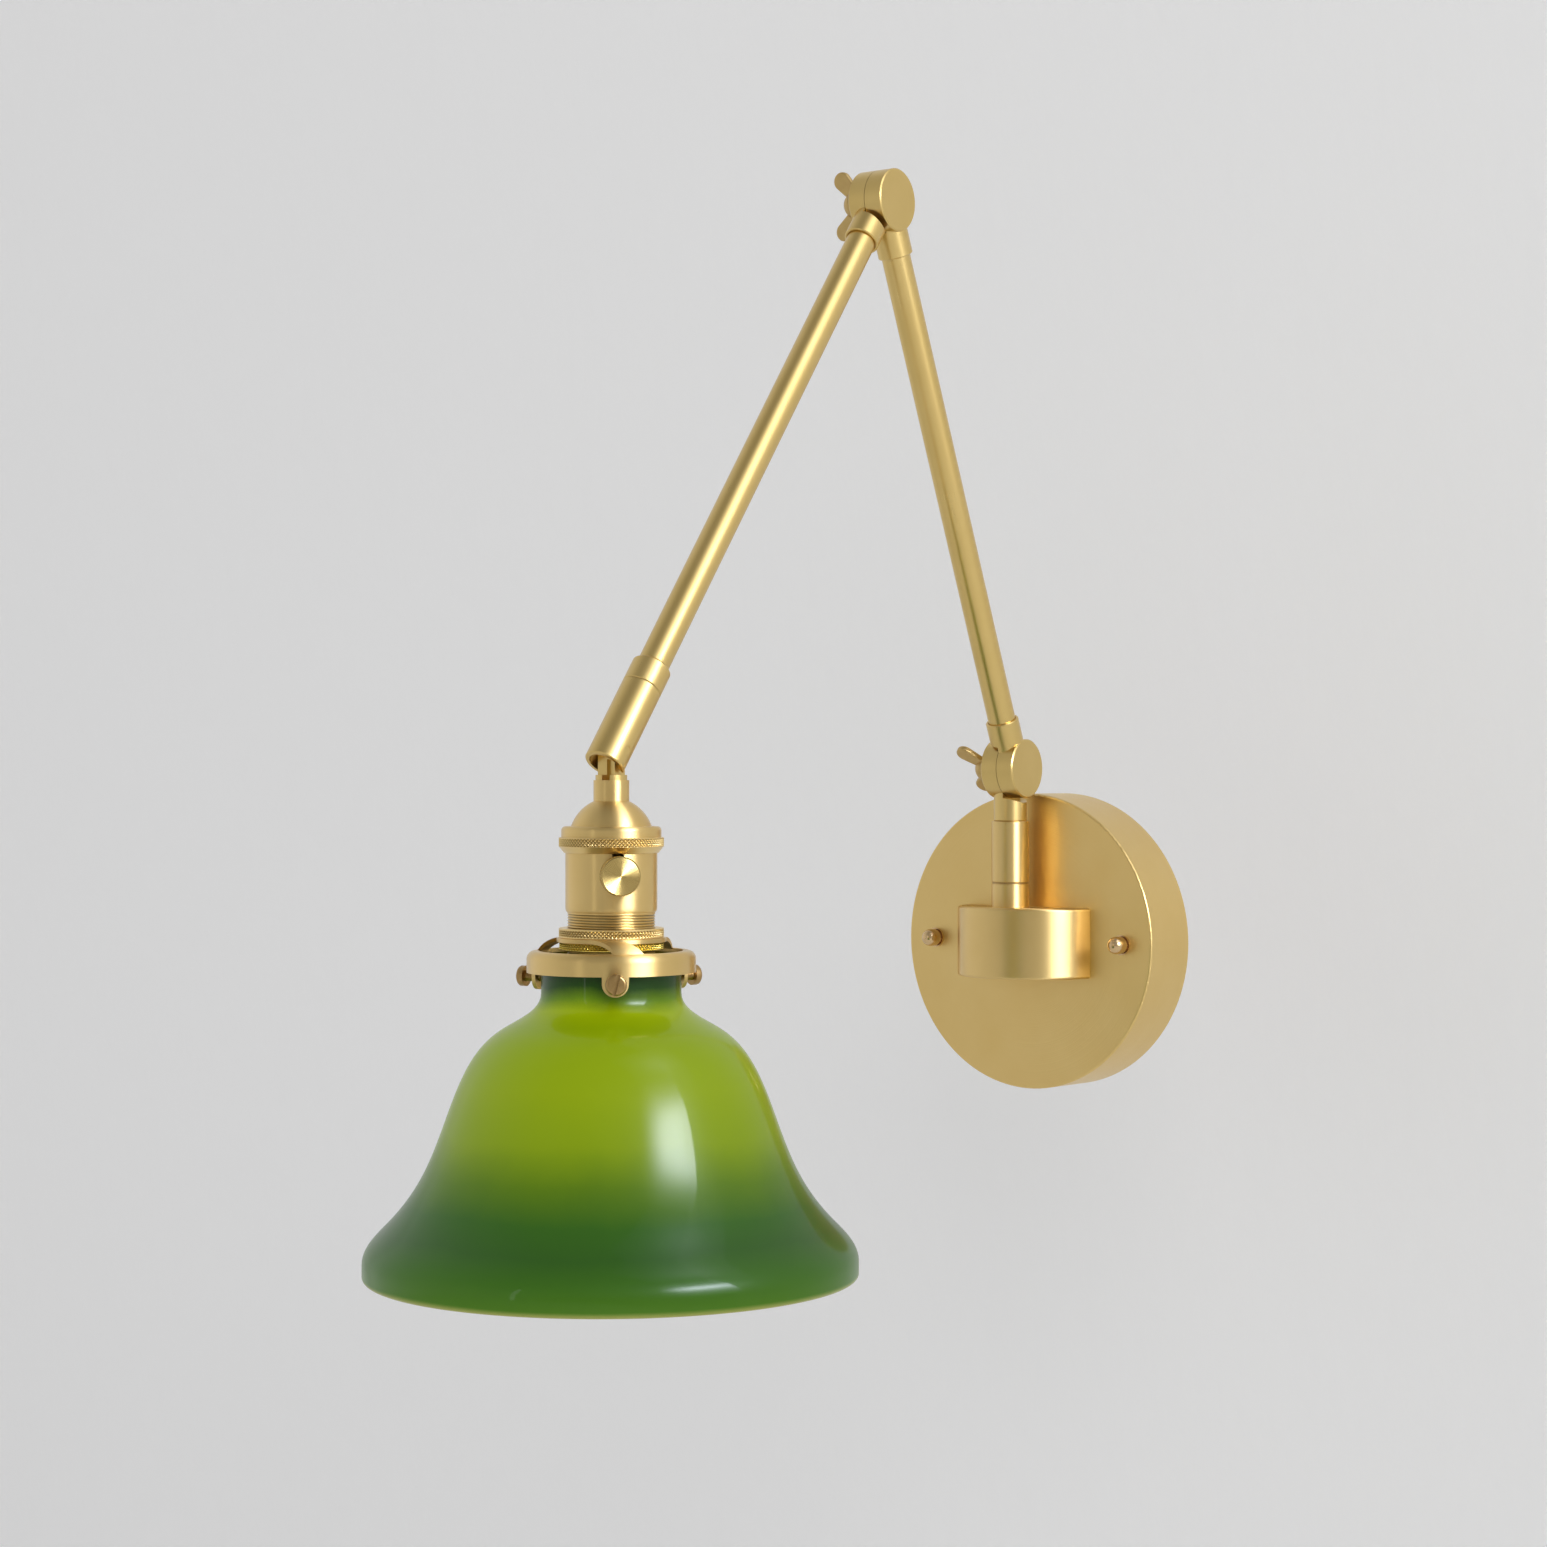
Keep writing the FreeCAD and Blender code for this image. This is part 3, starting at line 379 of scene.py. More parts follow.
class RoundPattern(ShapeTree):
    """Tree that repeats a piece evenly about Z."""

    def __init__(self) -> None:
        """Builds the tree."""
        super().__init__("round_pattern", {"Count": "NodeSocketInt", "Start": "NodeSocketFloat"})
        count = self.given.other("Count")
        points = self.make("GeometryNodePoints", {}, {"Count": count})
        turn = self.make("GeometryNodeInputIndex") * math.tau / count + self.given.other("Start")
        rotation = self.make("ShaderNodeCombineXYZ", {}, {"Z": turn})
        self.close(self.make("GeometryNodeInstanceOnPoints", {},
                             {"Points": points, "Instance": self.given, "Rotation": rotation}))


def keep_result(piece: Piece) -> None:
    """Turns a piece's modifiers into plain mesh.

    Args:
        piece: The piece.
    """
    bpy.context.view_layer.update()
    graph = bpy.context.evaluated_depsgraph_get()
    mesh = bpy.data.meshes.new_from_object(piece.evaluated_get(graph), depsgraph=graph)
    piece.modifiers.clear()
    piece.data = mesh


# Meshes


def steps(start: Point, end: Point, count: int) -> list[Point]:
    """Points from start to end in even steps, without the start."""
    shares = [i / count for i in range(1, count + 1)]
    return [(start[0] + (end[0] - start[0]) * s, start[1] + (end[1] - start[1]) * s) for s in shares]


def corner(centre: Point, radius: float, start: float, end: float, count: int = 6) -> list[Point]:
    """Points along an arc between two angles in degrees, both ends included."""
    angles = [math.radians(start + (end - start) * i / count) for i in range(count + 1)]
    return [(centre[0] + radius * math.cos(a), centre[1] + radius * math.sin(a)) for a in angles]


def lathe(name: str, profile: list[Point], segments: int) -> Piece:
    """Turned solid about Z.

    Args:
        name: Name of the object.
        profile: Closed (radius, height) outline; points on the axis become poles.
        segments: Number of sides round the axis.

    Returns:
        The object, standing at the origin.
    """
    shape = bmesh.new()
    rows = []
    for radius, height in profile:
        sides = segments if radius > ON_AXIS else 1
        angles = [math.tau * i / segments for i in range(sides)]
        rows.append([shape.verts.new((radius * math.cos(a), radius * math.sin(a), height)) for a in angles])
    for row, above in zip(rows, rows[1:] + rows[:1]):
        if len(row) == 1 and len(above) == 1:
            continue
        for i in range(segments):
            ring = [row[i % len(row)], row[(i + 1) % len(row)],
                    above[(i + 1) % len(above)], above[i % len(above)]]
            shape.faces.new(list(dict.fromkeys(ring)))
    bmesh.ops.recalc_face_normals(shape, faces=shape.faces)
    return finished_mesh(name, shape)


def finished_mesh(name: str, shape: bmesh.types.BMesh) -> Piece:
    """New object from a bmesh, which is freed.

    Args:
        name: Name of the object and its mesh.
        shape: The bmesh.

    Returns:
        The object.
    """
    mesh = bpy.data.meshes.new(name)
    shape.to_mesh(mesh)
    shape.free()
    piece = bpy.data.objects.new(name, mesh)
    bpy.context.scene.collection.objects.link(piece)
    return piece


def smooth(piece: Piece, sharp_angle: float = 35.0) -> None:
    """Shades a piece smooth, with edges sharper than an angle in degrees kept sharp."""
    piece.data.shade_smooth()
    piece.data.set_sharp_from_angle(angle=math.radians(sharp_angle))


def cut(piece: Piece, tool: Piece) -> None:
    """Cuts a tool's shape out of a piece and removes the tool.

    Args:
        piece: The piece.
        tool: The shape to take out of it.
    """
    modifier = piece.modifiers.new("cut", "BOOLEAN")
    modifier.operation = "DIFFERENCE"
    modifier.solver = "EXACT"
    modifier.object = tool
    keep_result(piece)
    bpy.data.objects.remove(tool)


def block(name: str, low: Vector, high: Vector) -> Piece:
    """Box between two corners.

    Args:
        name: Name of the object.
        low: Its least corner.
        high: Its greatest corner.

    Returns:
        The box.
    """
    shape = bmesh.new()
    bmesh.ops.create_cube(shape, size=1.0)
    size = high - low
    bmesh.ops.scale(shape, vec=size, verts=shape.verts)
    bmesh.ops.translate(shape, vec=(low + high) / 2, verts=shape.verts)
    return finished_mesh(name, shape)


def aim(axis: Vector, origin: Vector) -> Matrix:
    """Matrix that stands a turned piece on a point with its Z along an axis."""
    return Matrix.Translation(origin) @ axis.to_track_quat("Z", "Y").to_matrix().to_4x4()


def seat(piece: Piece, body: str, slot: str, *nodes: str) -> None:
    """Ties a finished piece to its body and to the solids that it stands for, which it hides.

    Args:
        piece: The piece.
        body: The body that it moves with.
        slot: The material slot that it would fill; not used.
        nodes: The solids that it replaces.
    """
    smooth(piece)
    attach(piece, body)
    if nodes:
        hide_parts(*nodes)
    log.info("%s rides on %s with %d faces", piece.name, body, len(piece.data.polygons))


def dress(node: str, finish: Material) -> None:
    """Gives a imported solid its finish."""
    frame["nodes"][node].material_slots[0].material = finish
    log.info("%s is dressed in %s", node, finish.name)


@dataclass(frozen=True)
class Turned:
    """Where an upright turned solid stands, read from its box."""

    centre: Vector
    radius: float
    low: float
    high: float

    @classmethod
    def of(cls, node: str) -> "Turned":
        """Reads a node's box.

        Args:
            node: Name of the solid.

        Returns:
            Its place and size.
        """
        low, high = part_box(node)
        middle = (low + high) / 2
        return cls(Vector((middle.x, middle.y, 0)), (high.x - low.x) / 2, low.z, high.z)

    @property
    def height(self) -> float:
        """Height of the solid."""
        return self.high - self.low

    def stand(self, piece: Piece) -> None:
        """Moves a piece that was made at the origin to the solid's foot."""
        piece.data.transform(Matrix.Translation(self.centre + Z_AXIS * self.low))


# Finishes


class Brush(Enum):
    """Which way the fine lines of a metal run."""

    ALONG = "along"
    ROUND = "round"


@dataclass(frozen=True)
class Metal:
    """Metal with fine brush lines and a little tarnish."""

    name: str
    tone: Colour
    tarnish: Colour
    roughness: float
    grain: float = 0.12
    lines: float = 9000.0
    line_depth: float = 0.004 * MM
    stretch: float = 0.012
    line_strength: float = 0.35
    soft_share: float = 0.4
    soft_width: float = 6.0
    cloud: float = 45.0
    cloud_roughness: float = 0.06
    # Share of the tarnish tone left in the painted shade of knurl and thread grooves.
    groove_shade_tone: float = 0.2
    coat: float = 0.10
    coat_roughness: float = 0.25
    streak: float = 0.0
    streak_turn: float = 0.25

    def material(self, centre: Vector, axis: Vector = Z_AXIS, brush: Brush = Brush.ROUND,
                 grooved: bool = False) -> Material:
        """Material for one piece.

        Args:
            centre: A point on the piece's axis.
            axis: The piece's axis.
            brush: Which way the lines run.
            grooved: Whether the piece carries a knurl or a thread, whose grooves are darkened as painted
                shade.

        Returns:
            The material.
        """
        net = ShaderNet(f"{self.name}_{brush.value}")
        offset = net.point.vector("SUBTRACT", tuple(centre))
        height = offset.dot(axis)
        level = net.make("ShaderNodeCombineXYZ", {}, {i: height * v for i, v in enumerate(axis)})
        across = offset.vector("SUBTRACT", level)
        if brush is Brush.ROUND:
            radius = across.vector("LENGTH", output="Value")
            place = net.make("ShaderNodeCombineXYZ", {}, {"X": height, "Y": radius})
        else:
            place = across.vector("ADD", level.vector("MULTIPLY", (self.stretch,) * 3))
        lines = net.noise(place, self.lines)
        soft_lines = net.noise(place, self.lines / self.soft_width)
        cloud = net.noise(offset, self.cloud, detail=3.0)
        grain = (lines * (1 - self.soft_share) + soft_lines * self.soft_share - 0.5) * self.grain
        colour = net.mix(cloud, self.tone, self.tarnish)
        # Painted shade: the sunk grooves of a knurl or a thread are darkened towards a near-black tarnish
        # tone, standing in for the shade that falls in them.
        if grooved:
            groove_shade_mask = net.make("ShaderNodeAttribute", {"attribute_name": SUNK}, output="Fac")
            dark = tuple(self.groove_shade_tone * part for part in self.tarnish)
            colour = net.mix(groove_shade_mask * groove_shade_mask, colour, dark)
        return net.finish(
            Base_Color=colour,
            Metallic=1.0,
            Roughness=grain + cloud * self.cloud_roughness + (self.roughness - self.cloud_roughness / 2),
            Normal=net.bump(lines, self.line_depth, self.line_strength),
            Coat_Weight=self.coat,
            Coat_Roughness=self.coat_roughness,
            Anisotropic=self.streak,
            Anisotropic_Rotation=self.streak_turn,
        )


@dataclass(frozen=True)
class CasedGlass:
    """Glossy glass whose green deepens towards the neck and the skirt."""

    name: str
    stops: tuple[tuple[float, Colour], ...]
    mottle: float = 28.0
    mottle_shift: float = 0.07
    speck: float = 2500.0
    speck_shift: float = 0.01
    even_rim: float = 6.0
    ripple: float = 35.0
    ripple_depth: float = 0.05 * MM
    ripple_strength: float = 0.25
    ripple_roughness: float = 0.06
    roughness: float = 0.30
    ior: float = 1.5
    gloss: float = 0.10
    coat: float = 0.30
    coat_roughness: float = 0.05

    def material(self, low: float, high: float) -> Material:
        """Outer material of the shade.

        Args:
            low: Height of the rim.
            high: Height of the lip.

        Returns:
            The material.
        """
        net = ShaderNet(self.name)
        z = net.make("ShaderNodeSeparateXYZ", {}, {0: net.point}, "Z")
        drift = net.noise(net.point, self.mottle, detail=3.0)
        speck = net.noise(net.point, self.speck, detail=1.0)
        share = (z - low) / (high - low)
        shift = (drift - 0.5) * self.mottle_shift + (speck - 0.5) * self.speck_shift
        share = share + shift * (share * self.even_rim).math("MINIMUM", 1.0)
        colour = net.make("ShaderNodeValToRGB", {"stops": list(self.stops)}, {"Fac": share})
        ripple = net.noise(net.point, self.ripple, detail=1.0)
        return net.finish(
            Base_Color=colour,
            Roughness=ripple * self.ripple_roughness + self.roughness,
            IOR=self.ior,
            Specular_IOR_Level=self.gloss,
            Normal=net.bump(ripple, self.ripple_depth, self.ripple_strength),
            Coat_Weight=self.coat,
            Coat_Roughness=self.coat_roughness,
        )


@dataclass(frozen=True)
class Speckled:
    """Plain dielectric with a fine speckle, for the insulating pieces and the shade's lining."""

    name: str
    light: Colour
    dark: Colour
    roughness: float
    scale: float = 700.0
    spread: float = 0.12
    grain_depth: float = 0.02 * MM
    grain_strength: float = 0.3

    def material(self) -> Material:
        """Material from the two tones.

        Returns:
            The material.
        """
        net = ShaderNet(self.name)
        speck = net.noise(net.point, self.scale, detail=4.0)
        return net.finish(
            Base_Color=net.mix(speck, self.light, self.dark),
            Roughness=speck * self.spread + (self.roughness - self.spread / 2),
            Normal=net.bump(speck, self.grain_depth, self.grain_strength),
        )


SATIN = Metal("satin_brass", (0.72, 0.525, 0.20), (0.64, 0.455, 0.15), 0.30)
TURNED_SATIN = Metal("turned_brass", (0.79, 0.58, 0.24), (0.74, 0.52, 0.19), 0.40,
                     grain=0.05, streak=0.9)
CANOPY = Metal("canopy_brass", (0.78, 0.57, 0.23), (0.73, 0.51, 0.18), 0.36,
               lines=2500.0, line_depth=0.2 * MM)
KNURLED = Metal("knurled_brass", (0.84, 0.63, 0.28), (0.78, 0.56, 0.21), 0.29, grain=0.05)
BRIGHT = Metal("bright_brass", (0.95, 0.72, 0.16), (0.90, 0.64, 0.11), 0.24, grain=0.05)
AGED = Metal("aged_brass", (0.50, 0.33, 0.13), (0.30, 0.18, 0.06), 0.32, cloud=400.0)
CAST = Metal("cast_brass", (0.62, 0.44, 0.18), (0.50, 0.34, 0.12), 0.42, cloud=250.0)
CAP_NUT = Metal("polished_brass", (0.72, 0.52, 0.28), (0.62, 0.42, 0.20), 0.20, grain=0.05)
KNOB = Metal("knob_brass", (0.60, 0.44, 0.16), (0.50, 0.35, 0.11), 0.24)
STEEL = Metal("plated_steel", (0.62, 0.62, 0.60), (0.52, 0.52, 0.50), 0.35, cloud=120.0)
PORCELAIN = Speckled("white_porcelain", (0.84, 0.83, 0.79), (0.78, 0.77, 0.72), 0.45)
MOULDED = Speckled("black_moulding", (0.03, 0.03, 0.03), (0.015, 0.015, 0.015), 0.5)
FIBRE = Speckled("dark_fibre", (0.20, 0.13, 0.06), (0.12, 0.075, 0.035), 0.7, 1500.0)
LINING = Speckled("opal_lining", (0.82, 0.84, 0.70), (0.78, 0.81, 0.66), 0.2, 300.0)
GREEN = CasedGlass("green_glass", (
    (0.0, (0.55, 0.55, 0.14)),
    (0.018, (0.075, 0.21, 0.006)),
    (0.09, (0.050, 0.165, 0.008)),
    (0.165, (0.033, 0.124, 0.010)),
    (0.245, (0.040, 0.146, 0.009)),
    (0.35, (0.118, 0.240, 0.003)),
    (0.47, (0.280, 0.415, 0.001)),
    (0.62, (0.335, 0.472, 0.0005)),
    (0.80, (0.330, 0.475, 0.0005)),
    # The lighter stop at 0.85, on the shoulder just under the gallery, is partly painted light: it is
    # brighter than the glass's own lime to make up for the shade the gallery casts there.
    (0.85, (0.43, 0.575, 0.0005)),
    (0.885, (0.160, 0.300, 0.001)),
    (0.925, (0.022, 0.085, 0.002)),
    (1.0, (0.010, 0.055, 0.008)),
))


# Sub-assemblies


@dataclass
class WallMount:
    """Canopy, bracket and drum on the wall."""

    turned: tuple[str, ...] = ("swivel_hub", "stem_stub")
    plated: tuple[str, ...] = (
        "mounting_bracket", "canopy_studs", "hub_screws", "stub_locknut", "swivel_nut")

    def build(self) -> None:
        """Dresses the fixed pieces."""
        dress("wall_canopy", CANOPY.material(Vector(), Y_AXIS))
        drum = TURNED_SATIN.material(pivot("base_swivel"))
        for node in self.turned:
            dress(node, drum)
        dress("cap_nuts", CAP_NUT.material(Vector(), Y_AXIS))
        steel = STEEL.material(Vector(), X_AXIS, Brush.ALONG)
        for node in self.plated:
            dress(node, steel)
        dress("earth_screw", AGED.material(Vector(), Y_AXIS))
        dress("swivel_washer", AGED.material(pivot("base_swivel")))


@dataclass
class Arms:
    """Stem sleeve, knuckles, tubes and wing nuts."""

    lower: tuple[str, ...] = ("lower_arm_tube", "lower_knuckle_arm", "upper_knuckle_arm")
    fore: tuple[str, ...] = ("forearm_tube", "upper_knuckle_forearm", "cup_collar", "tilt_cup", "tilt_pin")
    hinges: tuple[str, ...] = ("lower", "upper")

    def build(self) -> None:
        """Dresses each arm with lines along it."""
        low, high, end = pivot("lower_hinge"), pivot("upper_hinge"), pivot("head_tilt")
        dress("stem_sleeve", TURNED_SATIN.material(low))
        dress("lower_knuckle_base", SATIN.material(low, brush=Brush.ALONG))
        lower = SATIN.material(low, (high - low).normalized(), Brush.ALONG)
        for node in self.lower:
            dress(node, lower)
        fore = SATIN.material(end, (high - end).normalized(), Brush.ALONG)
        for node in self.fore:
            dress(node, fore)
        for place in self.hinges:
            hinge = place + "_hinge"
            middle, axis = pivot(hinge), direction(hinge)
            dress(place + "_pivot_stud", STEEL.material(middle, axis))
            dress(place + "_friction_washer", FIBRE.material())
            dress(place + "_wing_nut", CAST.material(middle, axis))
        dress("cup_retainer", STEEL.material(end, direction("head_swivel")))


@dataclass
class KnurledRing:
    """Ring with a diamond knurl between smooth rims and, on one, a taper below."""

    node: str
    bore: float
    band_low: float
    band_high: float
    taper: float = 0.0
    taper_height: float = 0.0
    rim: float = 0.25 * MM
    knurl_pitch: float = 1.4 * MM
    knurl_depth: float = 0.5 * MM
    sides_per_knurl: int = 8
    least_rows: int = 6

    def build(self, finish: Metal) -> None:
        """Makes the ring in place of its solid.

        Args:
            finish: The ring's metal.
        """
        spot = Turned.of(self.node)
        height = spot.height
        count = round(math.tau * spot.radius / self.knurl_pitch)
        rows = max(self.least_rows, round(height / self.knurl_pitch * self.sides_per_knurl))
        foot = self.taper_height
        profile = [(self.bore, 0.0), (spot.radius - self.taper - self.rim, 0.0)]
        if foot:
            profile.append((spot.radius - self.taper, self.rim))
        profile += [(spot.radius - self.rim, foot), (spot.radius, foot + self.rim)]
        profile += steps(profile[-1], (spot.radius, height - self.rim), rows)
        profile += [(spot.radius - self.rim, height), (self.bore, height)]
        piece = lathe(self.node + "_knurled", profile, count * self.sides_per_knurl)
        material = finish.material(spot.centre, grooved=True)
        ReliefTree.press(piece, Relief.KNURL, material, radius=spot.radius - self.rim / 2,
                         low=foot + self.band_low, high=height - self.band_high, depth=self.knurl_depth,
                         count=count, pitch=self.knurl_pitch)
        spot.stand(piece)
        seat(piece, "lamp_head", "satin_brass", self.node)


@dataclass
class Lampholder:
    """Cap, shell, lamp thread and the rings round them."""

    shell_radius: float = 16.8 * MM
    shell_bore: float = 15.2 * MM
    thread_radius: float = 16.05 * MM
    thread_length: float = 22.5 * MM
    thread_pitch: float = 1.0 * MM
    thread_depth: float = 0.38 * MM
    step: float = 2.0 * MM
    slot_width: float = 4.4 * MM
    lamp_pitch: float = 3.63 * MM
    lamp_depth: float = 0.6 * MM
    lamp_wall: float = 0.4 * MM
    cap_ring_gap: float = 0.1 * MM
    shade_ring_gap: float = 0.05 * MM
    segments: int = 160
    rows_per_pitch: int = 8
    lamp_rows_per_pitch: int = 16

    def build(self) -> None:
        """Makes and dresses the lampholder."""
        centre = Turned.of("socket_cap").centre
        dress("socket_cap", TURNED_SATIN.material(centre))
        dress("tilt_spigot", SATIN.material(centre, brush=Brush.ALONG))
        self.build_shell(TURNED_SATIN.material(centre, grooved=True))
        self.build_lamp_thread(BRIGHT.material(centre))
        dress("socket_insulator", PORCELAIN.material())
        dress("centre_contact", BRIGHT.material(centre))
        dress("switch_body", MOULDED.material())
        cap_ring = KnurledRing("cap_ring", bore=self.shell_radius + self.cap_ring_gap, band_low=0.35 * MM,
                               band_high=0.35 * MM, taper=1.7 * MM, taper_height=2.1 * MM)
        bore = self.thread_radius + self.shade_ring_gap
        upper_ring = KnurledRing("upper_shade_ring", bore, band_low=0.7 * MM, band_high=0.6 * MM)
        lower_ring = KnurledRing("lower_shade_ring", bore, band_low=0.3 * MM, band_high=0.3 * MM)
        for ring, finish in ((cap_ring, KNURLED), (upper_ring, KNURLED), (lower_ring, BRIGHT)):
            ring.build(finish)

    def build_shell(self, finish: Material) -> None:
        """Barrel with a threaded lower end and a slot for the switch shaft.

        Args:
            finish: Its material.
        """
        spot = Turned.of("socket_shell")
        height = spot.height
        end = self.thread_length
        rows = round(end / self.thread_pitch * self.rows_per_pitch)
        profile = [(self.shell_bore, height), (self.shell_bore, 0.0), (self.thread_radius, 0.0)]
        profile += steps(profile[-1], (self.thread_radius, end), rows)
        shoulder = self.shell_radius - self.thread_radius
        for out, up in corner((0.0, 1.0), 1.0, -90, 0):
            profile.append((self.thread_radius + out * shoulder, end + up * self.step))
        profile.append((self.shell_radius, height))
        piece = lathe("socket_shell_threaded", profile, self.segments)
        ReliefTree.press(piece, Relief.THREAD, finish, radius=self.thread_radius - self.thread_depth / 2,
                         low=0.0, high=end - self.thread_pitch / 2, depth=self.thread_depth, count=1.0,
                         pitch=self.thread_pitch)
        knob = pivot("switch_turn")
        half = self.slot_width / 2
        foot = knob.z - spot.low - half
        slot = block("shaft_slot", Vector((-half, 0, foot)), Vector((half, 1, height + half)))
        out = direction("switch_turn")
        slot.data.transform(Matrix.Rotation(math.atan2(-out.x, out.y), 4, "Z"))
        cut(piece, slot)
        spot.stand(piece)
        seat(piece, "lamp_head", "satin_brass", "socket_shell")

    def build_lamp_thread(self, finish: Material) -> None:
        """Thin rolled shell that a lamp screws into.

        Args:
            finish: Its material.
        """
        spot = Turned.of("screw_shell")
        height = spot.height
        rows = round(height / self.lamp_pitch * self.lamp_rows_per_pitch)
        inner = spot.radius - self.lamp_wall
        profile = [(spot.radius, 0.0)]
        profile += steps(profile[-1], (spot.radius, height), rows)
        profile += [(inner, height)]
        profile += steps(profile[-1], (inner, 0.0), rows)
        piece = lathe("lamp_thread_rolled", profile, self.segments)
        ReliefTree.press(piece, Relief.ROLLED, finish, radius=0.0, low=self.lamp_pitch / 2, high=height,
                         depth=self.lamp_depth, count=1.0, pitch=self.lamp_pitch)
        spot.stand(piece)
        seat(piece, "lamp_head", "satin_brass", "screw_shell")


@dataclass
class Switch:
    """Knob with a turned face and a knurled edge, on its shaft."""

    seat_out: float = 17.4 * MM
    radius: float = 7.1 * MM
    thickness: float = 6.5 * MM
    edge: float = 0.4 * MM
    rim: float = 0.7 * MM
    ridges: int = 16
    ridge_depth: float = 0.07 * MM
    bore: float = 2.02 * MM
    bore_depth: float = 3.82 * MM
    knurl_pitch: float = 1.0 * MM
    knurl_depth: float = 0.32 * MM
    sides_per_knurl: int = 6

    def build(self) -> None:
        """Makes the knob and dresses the shaft."""
        out, middle = direction("switch_turn"), pivot("switch_turn")
        count = round(math.tau * self.radius / self.knurl_pitch)
        rows = round(self.thickness / self.knurl_pitch * self.sides_per_knurl)
        face, flat = self.thickness, self.radius - self.edge
        profile = [(self.bore, self.bore_depth), (self.bore, 0.0), (flat, 0.0), (self.radius, self.edge)]
        profile += steps(profile[-1], (self.radius, face - self.edge), rows)
        for i in range(self.ridges):
            crest, valley = flat * (1 - i / self.ridges), flat * (1 - (i + 0.5) / self.ridges)
            profile += [(crest, face), (valley, face - self.ridge_depth)]
        profile += [(0.0, face), (0.0, self.bore_depth)]
        piece = lathe("switch_knob_knurled", profile, count * self.sides_per_knurl)
        finish = KNOB.material(middle, out, grooved=True)
        ReliefTree.press(piece, Relief.KNURL, finish, radius=self.radius - self.edge / 2, low=self.rim,
                         high=self.thickness - self.rim, depth=self.knurl_depth, count=count,
                         pitch=self.knurl_pitch)
        piece.data.transform(aim(out, middle + out * self.seat_out))
        seat(piece, "switch", "satin_brass", "switch_knob")
        dress("switch_shaft", STEEL.material(middle, out))


@dataclass
class Gallery:
    """Ring that holds the glass, with its slotted screws."""

    count: int = 3
    first_screw: float = 42.0
    head_radius: float = 3.8 * MM
    head_height: float = 2.8 * MM
    head_round: float = 1.0 * MM
    shank_length: float = 9.45 * MM
    shank_radius: float = 2.0 * MM
    shank_pitch: float = 0.7 * MM
    shank_depth: float = 0.2 * MM
    rows_per_pitch: int = 6
    slot_width: float = 1.1 * MM
    slot_depth: float = 1.3 * MM
    slot_turn: float = -15.0
    segments: int = 64

    def build(self) -> None:
        """Dresses the gallery and makes its screws."""
        spot = Turned.of("shade_gallery")
        dress("shade_gallery", TURNED_SATIN.material(spot.centre))
        low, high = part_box("gallery_screws")
        height = (low.z + high.z) / 2
        middle = spot.centre + Z_AXIS * height
        across = direction("head_tilt")
        start = math.radians(self.first_screw) + math.atan2(across.y, across.x)
        finish = AGED.material(middle)
        screws = self.one_screw(finish)
        tip = self.head_top(spot.centre, start) - self.head_height - self.shank_length
        screws.data.transform(aim(-Y_AXIS, -Y_AXIS * tip))
        RoundPattern().run(screws, count=self.count, start=start, finish=finish)
        screws.data.transform(Matrix.Translation(middle))
        seat(screws, "lamp_head", "satin_brass", "gallery_screws")

    def head_top(self, centre: Vector, start: float) -> float:
        """How far the screws' heads stand from the axis, read from the solids.

        Args:
            centre: Middle of the gallery.
            start: Angle of the first screw.

        Returns:
            The distance from the axis.
        """
        out = Vector((math.sin(start), -math.cos(start), 0))
        points = [v.co - centre for v in frame["nodes"]["gallery_screws"].data.vertices]
        return max(p.x * out.x + p.y * out.y for p in points)

    def one_screw(self, finish: Material) -> Piece:
        """Slotted screw along Z with its point at the origin.

        Args:
            finish: Its material.

        Returns:
            The screw.
        """
        length, top = self.shank_length, self.shank_length + self.head_height
        rows = round(length / self.shank_pitch * self.rows_per_pitch)
        side = self.head_radius - self.head_round
        profile = [(0.0, 0.0), (self.shank_radius, 0.0)]
        profile += steps(profile[-1], (self.shank_radius, length), rows)
        profile += [(self.head_radius, length)]
        profile += corner((side, top - self.head_round), self.head_round, 0, 90)
        profile += [(0.0, top)]
        screw = lathe("gallery_screws_slotted", profile, self.segments)
        ReliefTree.press(screw, Relief.THREAD, finish, radius=self.shank_radius / 2,
                         low=self.shank_pitch / 2, high=length - self.shank_pitch / 2,
                         depth=self.shank_depth, count=1.0, pitch=self.shank_pitch)
        half, wide = self.slot_width / 2, 2 * self.head_radius
        foot = top - self.slot_depth
        slot = block("screw_slot", Vector((-half, -wide, foot)), Vector((half, wide, top + wide)))
        slot.data.transform(Matrix.Rotation(math.radians(self.slot_turn), 4, "Z"))
        cut(screw, slot)
        return screw


